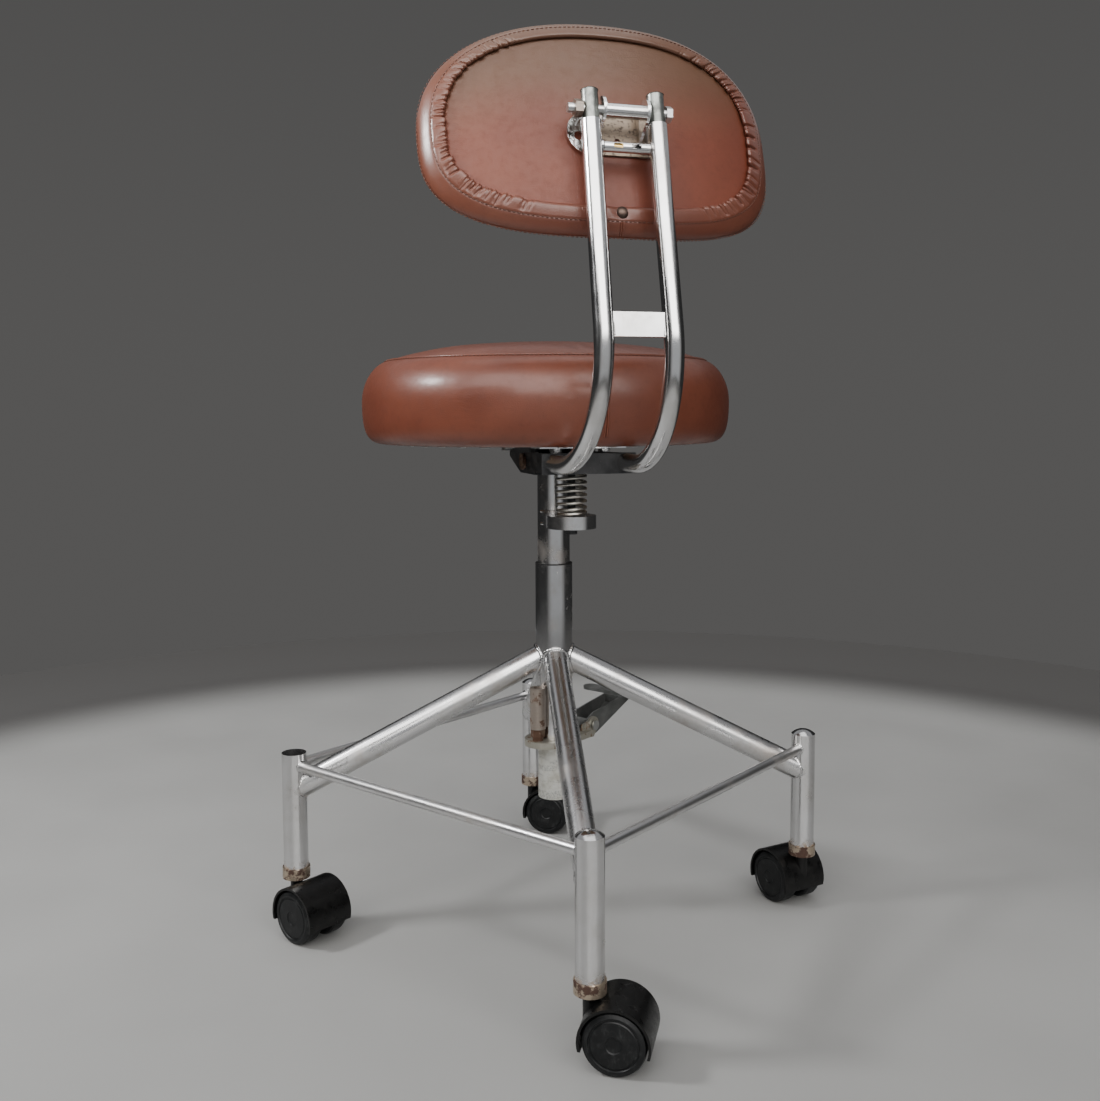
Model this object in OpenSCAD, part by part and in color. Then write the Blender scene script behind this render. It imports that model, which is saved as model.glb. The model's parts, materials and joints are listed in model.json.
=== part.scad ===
// Drafting chair: round padded seat on a gas lift, sprung tubular back and a four-post base on casters.
// Millimetres, +Z up. The origin is on the floor under the column. The back is towards +Y.

/* [Base] */
// Radius of the circle through the four corner posts
post_circle_r = 268; // [250:1:285]
// Angle of the rear post, measured from +X
post_angle = 79.3; // [60:0.1:90]
// Outer diameter of the posts and sloping legs
leg_d = 25; // [24:0.5:26]
// Wall thickness of the posts and legs
leg_wall = 1.8; // [1.5:0.1:2]
// Height of the top of the posts
post_top = 187; // [180:1:200]
// Height of each leg's centreline where it meets the column
leg_high_z = 277; // [265:1:290]
// Height of each leg's centreline where it meets its post
leg_low_z = 155; // [148:1:162]
// Diameter of the stretcher rods
rod_d = 10; // [8:0.5:12]
// Height of the stretcher rods
rod_z = 174; // [170:1:178]

/* [Column and lift] */
// Outer diameter of the fixed column tube
column_d = 38; // [37:0.5:40]
// Height of the bottom of the column tube
column_bottom = 196.5; // [195:0.5:198]
// Height of the top of the column tube
column_top = 377; // [370:1:382]
// Outer diameter of the sliding seat post
seat_post_d = 33; // [33:1:33]
// Outer diameter of the gas cylinder
gas_d = 28; // [27:0.5:28]
// Outer diameter of the cylinder's printed sleeve
sleeve_d = 34; // [33:0.5:36]
// Diameter of the gas rod
gas_rod_d = 10; // [8:0.5:11]

/* [Recline mechanism] */
// Distance of the recline spring's axis behind the column axis
spring_y = 61; // [60:0.5:62]
// Outer diameter of the recline spring
spring_d = 30.4; // [28:0.2:32]
// Wire diameter of the recline spring
spring_wire = 3; // [2.5:0.1:3.2]
// Number of turns of the recline spring
spring_turns = 9.5; // [8:0.5:10]
// Height of the underside of the clamp plate
clamp_z = 419.5; // [415:0.5:420]
// Thickness of the clamp plate
clamp_t = 12.5; // [12:0.5:15]
// Distance of the recline axle behind the column axis
axle_y = 26; // [26:0.5:28]
// Height of the recline axle
axle_z = 484; // [483:0.5:485]

/* [Back tubes] */
// Outer diameter of the back tubes
tube_d = 17; // [16:0.5:18]
// Distance of the tubes' bend behind the column axis
tube_y = 242.3; // [238:0.5:246]
// Height at which the tubes start to bend
tube_bend_z = 603.4; // [600:0.5:606]
// Radius of the tubes' bend, on the centreline
tube_bend_r = 98.6; // [96:0.2:100]
// Forward lean of the upper tubes, in degrees
tube_lean = 11.43; // [11:0.1:12]
// Half of the distance between the tubes' centrelines at the pivot bolt
tube_half = 29.2; // [28:0.1:30]
// Height of the pivot bolt that carries the pad
bolt_z = 782; // [780:0.5:784]

/* [Seat] */
// Largest radius of the seat cushion
seat_r = 189.4; // [180:0.5:195]
// Distance of the seat's centre in front of the column axis
seat_forward = 27.3; // [20:0.5:32]
// Height of the underside of the seat cushion
seat_z = 502.2; // [502.2:0.1:502.5]
// Height of the seam round the top of the cushion's side
seat_seam_z = 577; // [570:1:585]
// Height of the crown of the cushion
seat_crown_z = 604; // [596:1:610]

/* [Back pad] */
// Half of the pad's width, measured straight across
pad_half_w = 162.5; // [150:0.5:168]
// Half of the pad's height
pad_half_h = 98.5; // [90:0.5:100]
// Radius of the pad's curve round the sitter
pad_curve_r = 365; // [330:5:420]
// Thickness of the pad
pad_t = 33; // [28:1:36]
// Lean of the pad, in degrees
pad_lean = 14.5; // [13:0.1:15]
// Distance of the pad's centre behind the column axis
pad_y = 176.8; // [175:0.2:178]
// Height of the pad's centre
pad_z = 773.9; // [772:0.5:776]

/* [Casters] */
// Radius of each wheel
wheel_r = 27; // [26:0.5:27]
// Width of each wheel
wheel_w = 19; // [18:0.5:19.5]
// Distance of the wheels' axle behind the swivel axis
caster_trail = 24; // [23:0.5:25]
// Direction that each caster trails at rest, from rear, right, front and left posts
caster_turn = [150, 282, 150, 123]; // [0:1:359]

/* [Hidden] */
$fn = 96;
clear = 0.05;            // running clearance on a radius
weld_gap = 0.02;         // root gap of a welded joint between tubes of one diameter
gap = 0.3;               // space between soft parts and their neighbours
over = 1;                // how far a cutter runs past a face

ferrule_bottom = 57;
ferrule_top = 68;
ferrule_d = 28;
ferrule_sleeve_top = 100;
stem_r = 5.5;
leg_bore_r = leg_d / 2 - leg_wall;
foot_bore_r = leg_bore_r + 0.3;
cap_rise = 7;
rod_sides = [0, 2, 3];   // gaps between posts that hold a stretcher rod

column_bore_r = column_d / 2 - 1.5;
seat_post_r = seat_post_d / 2;
seat_post_bore_r = seat_post_r - 2;
seat_post_bottom = 235;
seat_post_top = 498.5;
bush_bottom = 345;
gas_bottom = 136;
gas_top = 300;
gas_wall = 2;
sleeve_bottom = 132;
sleeve_top = 190;
piston_bottom = 180;
piston_top = 192;
washer_bottom = 397;
washer_top = 400;
plug_top = 412;
spigot_r = 4;

pedal_angle = post_angle + 135;
flange_bottom = 190;
flange_half_w = 22;
flange_reach = 36;
pedal_pin_r = 3;
pedal_pivot = [48, 199];
pedal_half_w = 12;
pedal_sheet = 2.2;
tread_z = 218.5;
tread_t = 3.5;
ear_t = 3;
guide_d = 16;
guide_bottom = 209;
guide_top = 251.5;
guide_reach = column_d / 2 + guide_d / 2;

clamp_top = clamp_z + clamp_t;
clamp_r = 24;
spring_rod_r = 4;
spring_top = 488;
plate_z = 498.5;
plate_t = 3;
plate_half_w = 43;
plate_front = -58;
plate_back = 98;
channel_half_w = 31;
channel_sheet = 3;
channel_back = 42;
axle_r = 5;
arm_in = 34;
arm_t = 4;
web_y = 112;
web_t = 4;
carrier_half_w = 46;
carrier_bottom = 475;
carrier_top = 494.5;
seat_bolt_r = 3;
seat_bolt_places = [[37.5, -45, 5.5], [-37.5, -45, 5.5], [24, 88, 3.5], [-24, 88, 3.5]];

tube_wall = 1.5;
bend_centre = [tube_y - tube_bend_r * cos(tube_lean), tube_bend_z - tube_bend_r * sin(tube_lean)];
tube_bottom_z = bend_centre[1] - tube_bend_r;
shoulder_z = 772;
upper_length = (shoulder_z - tube_bend_z) / cos(tube_lean);
insert_length = 28;
insert_d = 14.4;
cap_r = 7.9;
cap_dome_r = 12.4;
splay_roll = 0.745;
splay_yaw = 1.67;
bolt_y = tube_y - (bolt_z - tube_bend_z) * tan(tube_lean);
pad_bolt_r = 4;
cross_h = 20;
cross_t = 4;
stop_z = 751;
stop_y = tube_y - (stop_z - tube_bend_z) * tan(tube_lean);
stop_d = 9;
stop_bore_r = 3;
slot_x = 8;
slot_half = 4.4;
slot_h = 4;

board_t = 8;
board_edge = 22;         // width of the upholstery that turns over the board
ear_in = 18;
ear_sheet = 2.5;
ear_r = 11;
bracket_sheet = 2.5;
bracket_half_w = 44;
bracket_low = -29;
bracket_high = 9;
bolt_local = [
    (bolt_y - pad_y) * cos(pad_lean) + (bolt_z - pad_z) * sin(pad_lean),
    (bolt_z - pad_z) * cos(pad_lean) - (bolt_y - pad_y) * sin(pad_lean)
];
button_drop = 79;

seat_base_r = 170;
seat_base_t = 12;
seat_edge_r = 180;
seam_r = 179;

hub_half = 6;
wheel_in = 6.5;
hood_in_r = 28.3;
hood_out_r = 30.6;
hood_half_w = 26;
boss_r = 6.2;
boss_top = 56;
caster_axle_r = 3;
stem_top = 92;

// ---- helpers ----

// Puts children at corner post number k: 0 rear, 1 right, 2 front, 3 left
module at_post(k) {
    rotate([0, 0, post_angle + 90 * k]) translate([post_circle_r, 0, 0]) children();
}

// A hollow round tube standing on its end
module tube(outer_r, inner_r, length) {
    difference() {
        cylinder(r = outer_r, h = length);
        translate([0, 0, -over]) cylinder(r = inner_r, h = length + 2 * over);
    }
}

// A rod of radius r from bottom to top
module post_between(r, bottom, top) {
    translate([0, 0, bottom]) cylinder(r = r, h = top - bottom);
}

// A cylinder along X, centred on x = 0
module cross_cylinder(r, length) {
    rotate([0, 90, 0]) cylinder(r = r, h = length, center = true);
}

// Turns a shape drawn in X and Y so that X runs to +Y, Y runs up and its thickness is along X
module side_profile(thickness) {
    rotate([90, 0, 90]) linear_extrude(thickness, center = true) children();
}

// A hexagon nut or head, measured across its flats
module hex(flats, height) {
    cylinder(r = flats / sqrt(3), h = height, $fn = 6);
}

// Points of a helix sweep: rings of eight points round a coil's wire
function coil_ring(mean_r, wire_r, angle, z) = [
    for (i = [0 : 7]) let (side = i * 45, r = mean_r + wire_r * cos(side))
        [r * cos(angle), r * sin(angle), z + wire_r * sin(side)]
];
function flat_list(lists) = [for (part = lists) for (item = part) item];

// Height of a coil's wire along its length, with half a closed turn at each end
function coil_height(t, turns, wire, height) =
    let (dead = 0.9 / turns, free = (t - dead) / (1 - 2 * dead), turn_rise = wire * t * turns)
    t < dead ? turn_rise :
    t > 1 - dead ? height - wire - wire * (1 - t) * turns :
    wire * 0.9 + (height - wire - 2 * wire * 0.9) * free;

// A helical compression spring standing on z = 0
module coil(outer_d, wire, turns, height, rings_per_turn = 22) {
    steps = round(turns * rings_per_turn);
    points = flat_list([
        for (s = [0 : steps]) let (t = s / steps)
            coil_ring((outer_d - wire) / 2, wire / 2, 360 * turns * t,
                wire / 2 + coil_height(t, turns, wire, height))
    ]);
    walls = [
        for (s = [0 : steps - 1]) for (i = [0 : 7]) let (a = 8 * s + i, b = 8 * s + (i + 1) % 8)
            [a, b, b + 8, a + 8]
    ];
    polyhedron(points, concat([[for (i = [7 : -1 : 0]) i]], walls, [[for (i = [0 : 7]) 8 * steps + i]]));
}

// ---- base ----

module column_tube() {
    color("silver") translate([0, 0, column_bottom])
        tube(column_d / 2, column_bore_r, column_top - column_bottom);
}

// A solid bar along one leg's centreline, from the column axis to the post axis
module leg_bar(r) {
    run = post_circle_r - column_d / 2 - leg_d / 2;
    slope = (leg_high_z - leg_low_z) / run;
    start_z = leg_high_z + slope * column_d / 2;
    length = post_circle_r * sqrt(1 + slope * slope);
    translate([0, 0, start_z]) rotate([0, 90 + atan(slope), 0]) cylinder(r = r, h = length);
}

module leg_tubes() {
    color("silver") for (k = [0 : 3]) rotate([0, 0, post_angle + 90 * k]) difference() {
        leg_bar(leg_d / 2);
        leg_bar(leg_bore_r);
        post_between(column_d / 2, column_bottom, column_top);
        translate([post_circle_r, 0, 0]) post_between(leg_d / 2 + weld_gap, ferrule_bottom, post_top);
    }
}

module post_tube(k) {
    color("silver") at_post(k) difference() {
        post_between(leg_d / 2, ferrule_top, post_top);
        post_between(leg_bore_r, ferrule_sleeve_top, post_top + over);
        post_between(foot_bore_r, ferrule_top - over, ferrule_sleeve_top);
    }
}

module corner_posts() {
    for (k = [0 : 2]) post_tube(k);
}

// The left post has lost its cap, so its bore is open at the top
module open_post() {
    post_tube(3);
}

module post_caps() {
    color("lightgray") for (k = [0 : 2]) at_post(k) {
        translate([0, 0, post_top]) cylinder(r = leg_d / 2, h = 2);
        translate([0, 0, post_top + 2]) intersection() {
            dome_r = (pow(leg_d / 2, 2) + pow(cap_rise - 2, 2)) / (2 * (cap_rise - 2));
            translate([0, 0, cap_rise - 2 - dome_r]) sphere(r = dome_r);
            cylinder(r = leg_d / 2, h = cap_rise);
        }
    }
}

module ferrules() {
    color("saddlebrown") for (k = [0 : 3]) at_post(k) difference() {
        union() {
            post_between(ferrule_d / 2, ferrule_bottom, ferrule_top);
            post_between(foot_bore_r, ferrule_bottom, ferrule_sleeve_top);
        }
        post_between(stem_r + clear, ferrule_bottom - over, ferrule_sleeve_top + over);
    }
}

module stretcher_rods() {
    half = post_circle_r / sqrt(2);
    color("silver") for (k = rod_sides) rotate([0, 0, post_angle + 90 * k + 45]) difference() {
        translate([half, 0, rod_z]) rotate([90, 0, 0]) cylinder(r = rod_d / 2, h = 2 * half, center = true);
        for (side = [-1, 1]) translate([half, side * half, 0])
            post_between(leg_d / 2, ferrule_top, post_top);
        for (side = [-1, 1]) rotate([0, 0, side * 45]) leg_bar(leg_d / 2);
    }
}

// ---- gas lift ----

module gas_cylinder() {
    color("gainsboro") difference() {
        post_between(gas_d / 2, gas_bottom, gas_top);
        post_between(gas_d / 2 - gas_wall, gas_bottom + 5, gas_top - 6);
        post_between(gas_rod_d / 2 + clear, gas_top - 8, gas_top + over);
    }
}

module cylinder_sleeve() {
    color("whitesmoke") difference() {
        post_between(sleeve_d / 2, sleeve_bottom, sleeve_top);
        post_between(gas_d / 2, gas_bottom, sleeve_top + over);
    }
}

// The flange runs from the guide sleeve's side to the pedal's side of the column
module pedal_bracket() {
    color("tan") rotate([0, 0, pedal_angle]) difference() {
        union() {
            translate([0, 0, flange_bottom]) linear_extrude(column_bottom - flange_bottom) {
                translate([-flange_reach + flange_half_w, -flange_half_w])
                    square([2 * flange_reach - flange_half_w, 2 * flange_half_w]);
                translate([-flange_reach + flange_half_w, 0]) circle(r = flange_half_w);
            }
            for (side = [-1, 1]) translate([0, side * (pedal_half_w + gap + ear_t / 2), 0])
                rotate([90, 0, 0]) linear_extrude(ear_t, center = true) {
                    polygon([[28, flange_bottom], [48, flange_bottom - 4], [58, 199], [52, 207], [30, column_bottom + 6]]);
                    translate(pedal_pivot) circle(r = 9);
                }
        }
        post_between(gas_d / 2, flange_bottom - over, column_bottom + over);
        translate([pedal_pivot[0], 0, pedal_pivot[1]]) rotate([90, 0, 0])
            cylinder(r = pedal_pin_r, h = 60, center = true);
        post_between(column_d / 2, column_bottom, column_top);
    }
}

module guide_sleeve() {
    color("rosybrown") rotate([0, 0, pedal_angle]) translate([-guide_reach, 0, guide_bottom])
        tube(guide_d / 2, guide_d / 2 - 4, guide_top - guide_bottom);
}

module adjusting_bolt() {
    color("sienna") rotate([0, 0, pedal_angle]) translate([-guide_reach, 0, 0]) {
        translate([0, 0, column_bottom]) cylinder(r = 5.5, h = 4);
        translate([0, 0, column_bottom + 4]) hex(13, guide_bottom - column_bottom - 4);
        post_between(guide_d / 2 - 4, guide_bottom, guide_top - 6);
    }
}

module pedal_lever() {
    outline = [[41, 193], [41, 205], [52, 211], [121, 221], [121, 214], [57, 188], [46, 188]];
    color("dimgray") rotate([0, 0, pedal_angle]) difference() {
        union() {
            rotate([90, 0, 0]) linear_extrude(2 * pedal_half_w, center = true) polygon(outline);
            rotate([90, 0, 0]) linear_extrude(2 * pedal_half_w - 6, center = true)
                polygon([[26, 199.5], [26, 201.5], [42, 205], [42, 202.5]]);
            translate([104, -37, tread_z]) cube([17, 74, tread_t]);
            for (side = [-1, 1]) translate([112.5, side * 37, tread_z]) cylinder(r = 8.5, h = tread_t);
        }
        rotate([90, 0, 0]) linear_extrude(2 * (pedal_half_w - pedal_sheet), center = true)
            polygon([[43.2, 190.5], [43.2, 225], [103, 225], [103, 209.5], [56, 190.5]]);
        translate([pedal_pivot[0], 0, pedal_pivot[1]]) rotate([90, 0, 0])
            cylinder(r = pedal_pin_r + clear, h = 60, center = true);
    }
}

module pedal_pin() {
    length = 2 * (pedal_half_w + gap + ear_t + 1.5);
    color("gray") rotate([0, 0, pedal_angle]) translate([pedal_pivot[0], 0, pedal_pivot[1]]) rotate([90, 0, 0]) {
        cylinder(r = pedal_pin_r, h = length, center = true);
        translate([0, 0, length / 2]) cylinder(r = 5, h = 2);
        translate([0, 0, -length / 2 - 1.5]) cylinder(r = 4.5, h = 1.5);
    }
}

module pedal_spring() {
    color("darkgray") rotate([0, 0, pedal_angle]) translate([pedal_pivot[0], 6, pedal_pivot[1]])
        rotate([90, 0, 0]) coil(9, 1.4, 5.5, 12, 14);
}

module column_bush() {
    color("black") difference() {
        union() {
            post_between(column_bore_r, bush_bottom, column_top);
            post_between(column_d / 2, column_top, column_top + 1.2);
        }
        post_between(seat_post_r + clear, bush_bottom - over, column_top + 2 * over);
    }
}

module gas_rod() {
    color("lightsteelblue") {
        post_between(gas_rod_d / 2, piston_bottom, washer_bottom);
        post_between(spigot_r, washer_bottom, plug_top - 2);
    }
}

module gas_piston() {
    color("dimgray") translate([0, 0, piston_bottom])
        tube(gas_d / 2 - gas_wall - clear, gas_rod_d / 2, piston_top - piston_bottom);
}

module thrust_washer() {
    color("goldenrod") translate([0, 0, washer_bottom])
        tube(seat_post_bore_r - 0.5, spigot_r, washer_top - washer_bottom - clear);
}

// ---- seat post and recline mechanism ----

module seat_post() {
    color("silver") translate([0, 0, seat_post_bottom])
        tube(seat_post_r, seat_post_bore_r, seat_post_top - seat_post_bottom);
}

module post_plug() {
    color("gray") translate([0, 0, washer_top])
        tube(seat_post_bore_r, spigot_r + clear, plug_top - washer_top);
}

module clamp_plate() {
    color("lightgray") difference() {
        translate([0, 0, clamp_z]) linear_extrude(clamp_t) {
            polygon([[-14.5, 6], [14.5, 6], [23.4, 52], [-23.4, 52]]);
            translate([0, spring_y]) circle(r = clamp_r);
        }
        post_between(seat_post_r, clamp_z - over, clamp_top + over);
        translate([0, spring_y, 0]) post_between(spring_rod_r, clamp_z - over, clamp_top + over);
    }
}

module spring_rod() {
    color("dimgray") translate([0, spring_y, 0]) {
        translate([0, 0, clamp_z - 6]) hex(10, 6);
        post_between(spring_rod_r, clamp_z, spring_top + 6);
    }
}

module recline_spring() {
    color("slategray") translate([0, spring_y, clamp_top])
        coil(spring_d, spring_wire, spring_turns, spring_top - clamp_top);
}

// Side outline of the pressed channel, pulled in by inset and cut to its open top
function channel_outline(inset) = [
    [plate_front + inset, plate_z + over], [plate_front + inset, 487 + inset],
    [plate_front + 12, 482 + inset], [-14, 471 + inset], [channel_back, 471 + inset],
    [channel_back, plate_z + over]
];

module mechanism_channel() {
    color("darkslategray") difference() {
        side_profile(2 * channel_half_w) polygon(channel_outline(0));
        side_profile(2 * (channel_half_w - channel_sheet)) polygon(concat(
            [for (p = channel_outline(channel_sheet)) [p[0] + (p[0] == channel_back ? over : 0), p[1]]]));
        translate([-60, -80, plate_z]) cube([120, 160, 10]);
        post_between(seat_post_r, 460, 510);
        translate([0, axle_y, axle_z]) cross_cylinder(axle_r, 100);
    }
}

module seat_plate() {
    color("lightgray") difference() {
        translate([-plate_half_w, plate_front, plate_z]) cube([2 * plate_half_w, plate_back - plate_front, plate_t]);
        for (p = seat_bolt_places) translate([p[0], p[1], 0])
            post_between(seat_bolt_r, plate_z - over, plate_z + plate_t + over);
    }
}

module seat_bolts() {
    color("silver") for (p = seat_bolt_places) translate([p[0], p[1], plate_z]) {
        translate([0, 0, -p[2]]) hex(10, p[2] - 1);
        translate([0, 0, -1]) cylinder(r = 6.5, h = 1);
        cylinder(r = seat_bolt_r, h = plate_t + 9);
    }
}

module recline_axle() {
    reach = arm_in + arm_t + gap;
    color("gray") translate([0, axle_y, axle_z]) {
        cross_cylinder(axle_r, 2 * reach);
        for (side = [-1, 1]) translate([side * (reach + 1.5), 0, 0]) cross_cylinder(8, 3);
    }
}

module back_carrier() {
    color("#2c2f33") difference() {
        union() {
            for (side = [-1, 1]) translate([side * (arm_in + arm_t / 2), 0, 0]) side_profile(arm_t) {
                polygon([
                    [axle_y, axle_z - 9], [web_y + over, carrier_bottom],
                    [web_y + over, carrier_top], [axle_y, axle_z + 9]
                ]);
                translate([axle_y, axle_z]) circle(r = 9);
            }
            translate([-arm_in - over, 46, spring_top]) cube([2 * (arm_in + over), web_y - 46 + over, 4]);
            translate([-carrier_half_w, web_y, carrier_bottom])
                cube([2 * carrier_half_w, web_t, carrier_top - carrier_bottom]);
            translate([-arm_in - over, web_y - 18, carrier_bottom]) cube([2 * (arm_in + over), 19, 4]);
        }
        translate([0, axle_y, axle_z]) cross_cylinder(axle_r + clear, 100);
        translate([0, spring_y, 0]) post_between(spring_rod_r + 2, spring_top - over, spring_top + 6);
    }
}

// ---- seat ----

module seat_base() {
    color("burlywood") translate([0, -seat_forward, plate_z + plate_t]) difference() {
        cylinder(r = seat_base_r, h = seat_base_t);
        for (p = seat_bolt_places) translate([p[0], p[1] + seat_forward, 0])
            post_between(seat_bolt_r, -over, 9);
    }
}

// Half outline of the cushion: bulging side, soft shoulder and domed top
function cushion_side(steps) = [
    for (i = [0 : steps]) let (t = i / steps)
        [seat_edge_r + (seam_r - seat_edge_r) * t + (seat_r - seat_edge_r + 0.6) * pow(sin(180 * t), 0.7),
            seat_z + (seat_seam_z - seat_z) * t]
];
function cushion_top(steps) = [
    for (i = [1 : steps]) let (t = i / steps)
        [seam_r * (1 - t), seat_seam_z + (seat_crown_z - seat_seam_z) * pow(sin(90 * t), 0.85)]
];

module seat_cushion() {
    recess_z = plate_z + plate_t + seat_base_t;
    color("sienna") translate([0, -seat_forward, 0]) rotate_extrude() polygon(concat(
        [[0, recess_z], [seat_base_r, recess_z], [seat_base_r, seat_z]],
        cushion_side(14), cushion_top(12)));
}

// ---- back tubes ----

// The bent bar of radius r on the left side: straight top, round bend, straight foot
module back_bar(r) {
    top_y = bolt_y;
    translate([tube_half, top_y, bolt_z]) rotate([0, -splay_roll, splay_yaw]) translate([0, -top_y, -bolt_z])
        translate([0, bend_centre[0], bend_centre[1]]) rotate([90, 0, 90]) {
            rotate([0, 0, -90]) rotate_extrude(angle = 90 + tube_lean) translate([tube_bend_r, 0]) circle(r = r);
            rotate([0, 0, tube_lean]) translate([tube_bend_r, 0, 0]) rotate([-90, 0, 0])
                cylinder(r = r, h = upper_length);
            translate([0, -tube_bend_r, 0]) rotate([0, -90, 0])
                cylinder(r = r, h = bend_centre[0] - web_y);
        }
}

// Places children on the left tube's axis, distance above its shoulder, with z along the tube
module on_tube(distance) {
    translate([tube_half, bolt_y, bolt_z]) rotate([0, -splay_roll, splay_yaw]) translate([0, -bolt_y, -bolt_z])
        translate([0, tube_y, tube_bend_z]) rotate([tube_lean, 0, 0])
            translate([0, 0, upper_length + distance]) children();
}

module both_sides() {
    children();
    mirror([1, 0, 0]) children();
}

module back_tube_left() {
    color("silver") difference() {
        back_bar(tube_d / 2);
        back_bar(tube_d / 2 - tube_wall);
        translate([0, web_y - 40, 440]) cube([80, 40 + web_t, 80]);
    }
}

module back_tube_right() {
    mirror([1, 0, 0]) back_tube_left();
}

module tube_inserts() {
    color("gray") both_sides() difference() {
        union() {
            on_tube(-14) cylinder(r = tube_d / 2 - tube_wall, h = 14);
            on_tube(0) cylinder(r = insert_d / 2, h = insert_length - 2);
            on_tube(insert_length - 2) intersection() {
                translate([0, 0, 2.6 - cap_dome_r]) sphere(r = cap_dome_r);
                cylinder(r = cap_r, h = 6);
            }
        }
        translate([0, bolt_y, bolt_z]) cross_cylinder(pad_bolt_r, 120);
        on_tube(-15) cylinder(r = 4.2, h = 10);
    }
}

module mid_cross_plate() {
    color("white") difference() {
        translate([0, tube_y, tube_bend_z]) rotate([tube_lean / 2, 0, 0]) cube([45.4, cross_t, cross_h], center = true);
        both_sides() back_bar(tube_d / 2);
    }
}

module stop_tube() {
    color("silver") difference() {
        translate([0, stop_y, stop_z]) cross_cylinder(stop_d / 2, 52);
        translate([0, stop_y, stop_z]) cross_cylinder(stop_bore_r, 54);
        both_sides() back_bar(tube_d / 2);
        for (side = [-1, 1]) translate([side * slot_x, stop_y, stop_z]) rotate([-90 + tube_lean, 0, 0]) {
            translate([-slot_half + slot_h / 2, -slot_h / 2, 0]) cube([2 * slot_half - slot_h, slot_h, stop_d]);
            for (end = [-1, 1]) translate([end * (slot_half - slot_h / 2), 0, 0]) cylinder(r = slot_h / 2, h = stop_d);
        }
    }
}

module stop_pin() {
    color("gold") translate([slot_x, stop_y, stop_z]) cross_cylinder(stop_bore_r, 12);
}

module pad_bolt() {
    reach = tube_half + insert_d / 2 + 0.6;
    color("silver") translate([0, bolt_y, bolt_z]) {
        translate([6, 0, 0]) cross_cylinder(pad_bolt_r, 2 * reach + 12);
        translate([-reach, 0, 0]) rotate([0, -90, 0]) hex(12, 5);
    }
}

module pad_nut() {
    reach = tube_half + insert_d / 2 + 0.4;
    color("rosybrown") translate([reach, bolt_y, bolt_z]) rotate([0, 90, 0]) difference() {
        hex(13, 6.5);
        translate([0, 0, -over]) cylinder(r = pad_bolt_r, h = 10);
    }
}

// ---- back pad ----

// The pad's own frame: z up the pad, y out of its back
module in_pad() {
    translate([0, pad_y, pad_z]) rotate([pad_lean, 0, 0]) children();
}

// Rounded outline of the pad, pulled in by inset
function pad_outline(inset) = [
    for (i = [0 : 71]) let (c = cos(5 * i), s = sin(5 * i))
        [(pad_half_w - inset) * sign(c) * pow(abs(c), 0.75), (pad_half_h - inset) * sign(s) * pow(abs(s), 0.75)]
];

// A slice of the curved pad between two depths from its mid surface
module pad_slice(back, front, inset) {
    intersection() {
        rotate([90, 0, 0]) linear_extrude(300, center = true) polygon(pad_outline(inset));
        translate([0, -pad_curve_r, -120]) difference() {
            cylinder(r = pad_curve_r + back, h = 240);
            translate([0, 0, -over]) cylinder(r = pad_curve_r + front, h = 240 + 2 * over);
        }
        translate([-200, -150, -150]) cube([400, 200, 300]);
    }
}

module pad_board() {
    color("#8a4b3a") in_pad() pad_slice(board_t, 0, board_edge);
}

module back_pad() {
    color("sienna") in_pad() difference() {
        pad_slice(board_t, board_t - pad_t, 0);
        pad_slice(board_t + over, 0, board_edge);
    }
}

module button_stud() {
    color("dimgray") in_pad() translate([0, board_t, -button_drop]) rotate([-90, 0, 0]) intersection() {
        translate([0, 0, -4]) sphere(r = 7);
        cylinder(r = 5.4, h = 4);
    }
}

module spacer_tube() {
    color("silver") translate([0, bolt_y, bolt_z]) difference() {
        cross_cylinder(6, 2 * ear_in);
        cross_cylinder(pad_bolt_r + clear, 2 * ear_in + 2 * over);
    }
}

module pad_bracket() {
    mid = (bracket_low + bracket_high) / 2;
    end_r = (bracket_high - bracket_low) / 2;
    color("silver") in_pad() difference() {
        union() {
            translate([0, board_t + bracket_sheet, 0]) rotate([90, 0, 0]) linear_extrude(bracket_sheet) {
                translate([-bracket_half_w + end_r, bracket_low]) square([2 * (bracket_half_w - end_r), 2 * end_r]);
                for (side = [-1, 1]) translate([side * (bracket_half_w - end_r), mid]) circle(r = end_r);
            }
            for (side = [-1, 1]) translate([side * (ear_in + ear_sheet / 2), 0, 0]) side_profile(ear_sheet) {
                polygon([
                    [board_t + over, bracket_low + 8], [bolt_local[0], bolt_local[1] - ear_r],
                    [bolt_local[0], bolt_local[1] + ear_r], [board_t + over, bracket_high]
                ]);
                translate(bolt_local) circle(r = ear_r);
            }
        }
        translate([0, bolt_local[0], bolt_local[1]]) cross_cylinder(pad_bolt_r + clear, 100);
        translate([0, 0, -16]) rotate([-90, 0, 0]) cylinder(r = 2.4, h = 40);
        for (side = [-1, 1]) translate([side * 34, 0, mid - 3]) rotate([-90, 0, 0]) cylinder(r = 4, h = 40);
    }
}

// ---- casters ----

// Puts children in caster k's frame: x towards its trailing side, z up, swivel axis on z
module at_caster(k) {
    rotate([0, 0, post_angle + 90 * k]) translate([post_circle_r, 0, 0])
        rotate([0, 0, caster_turn[k] - post_angle - 90 * k]) children();
}

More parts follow.
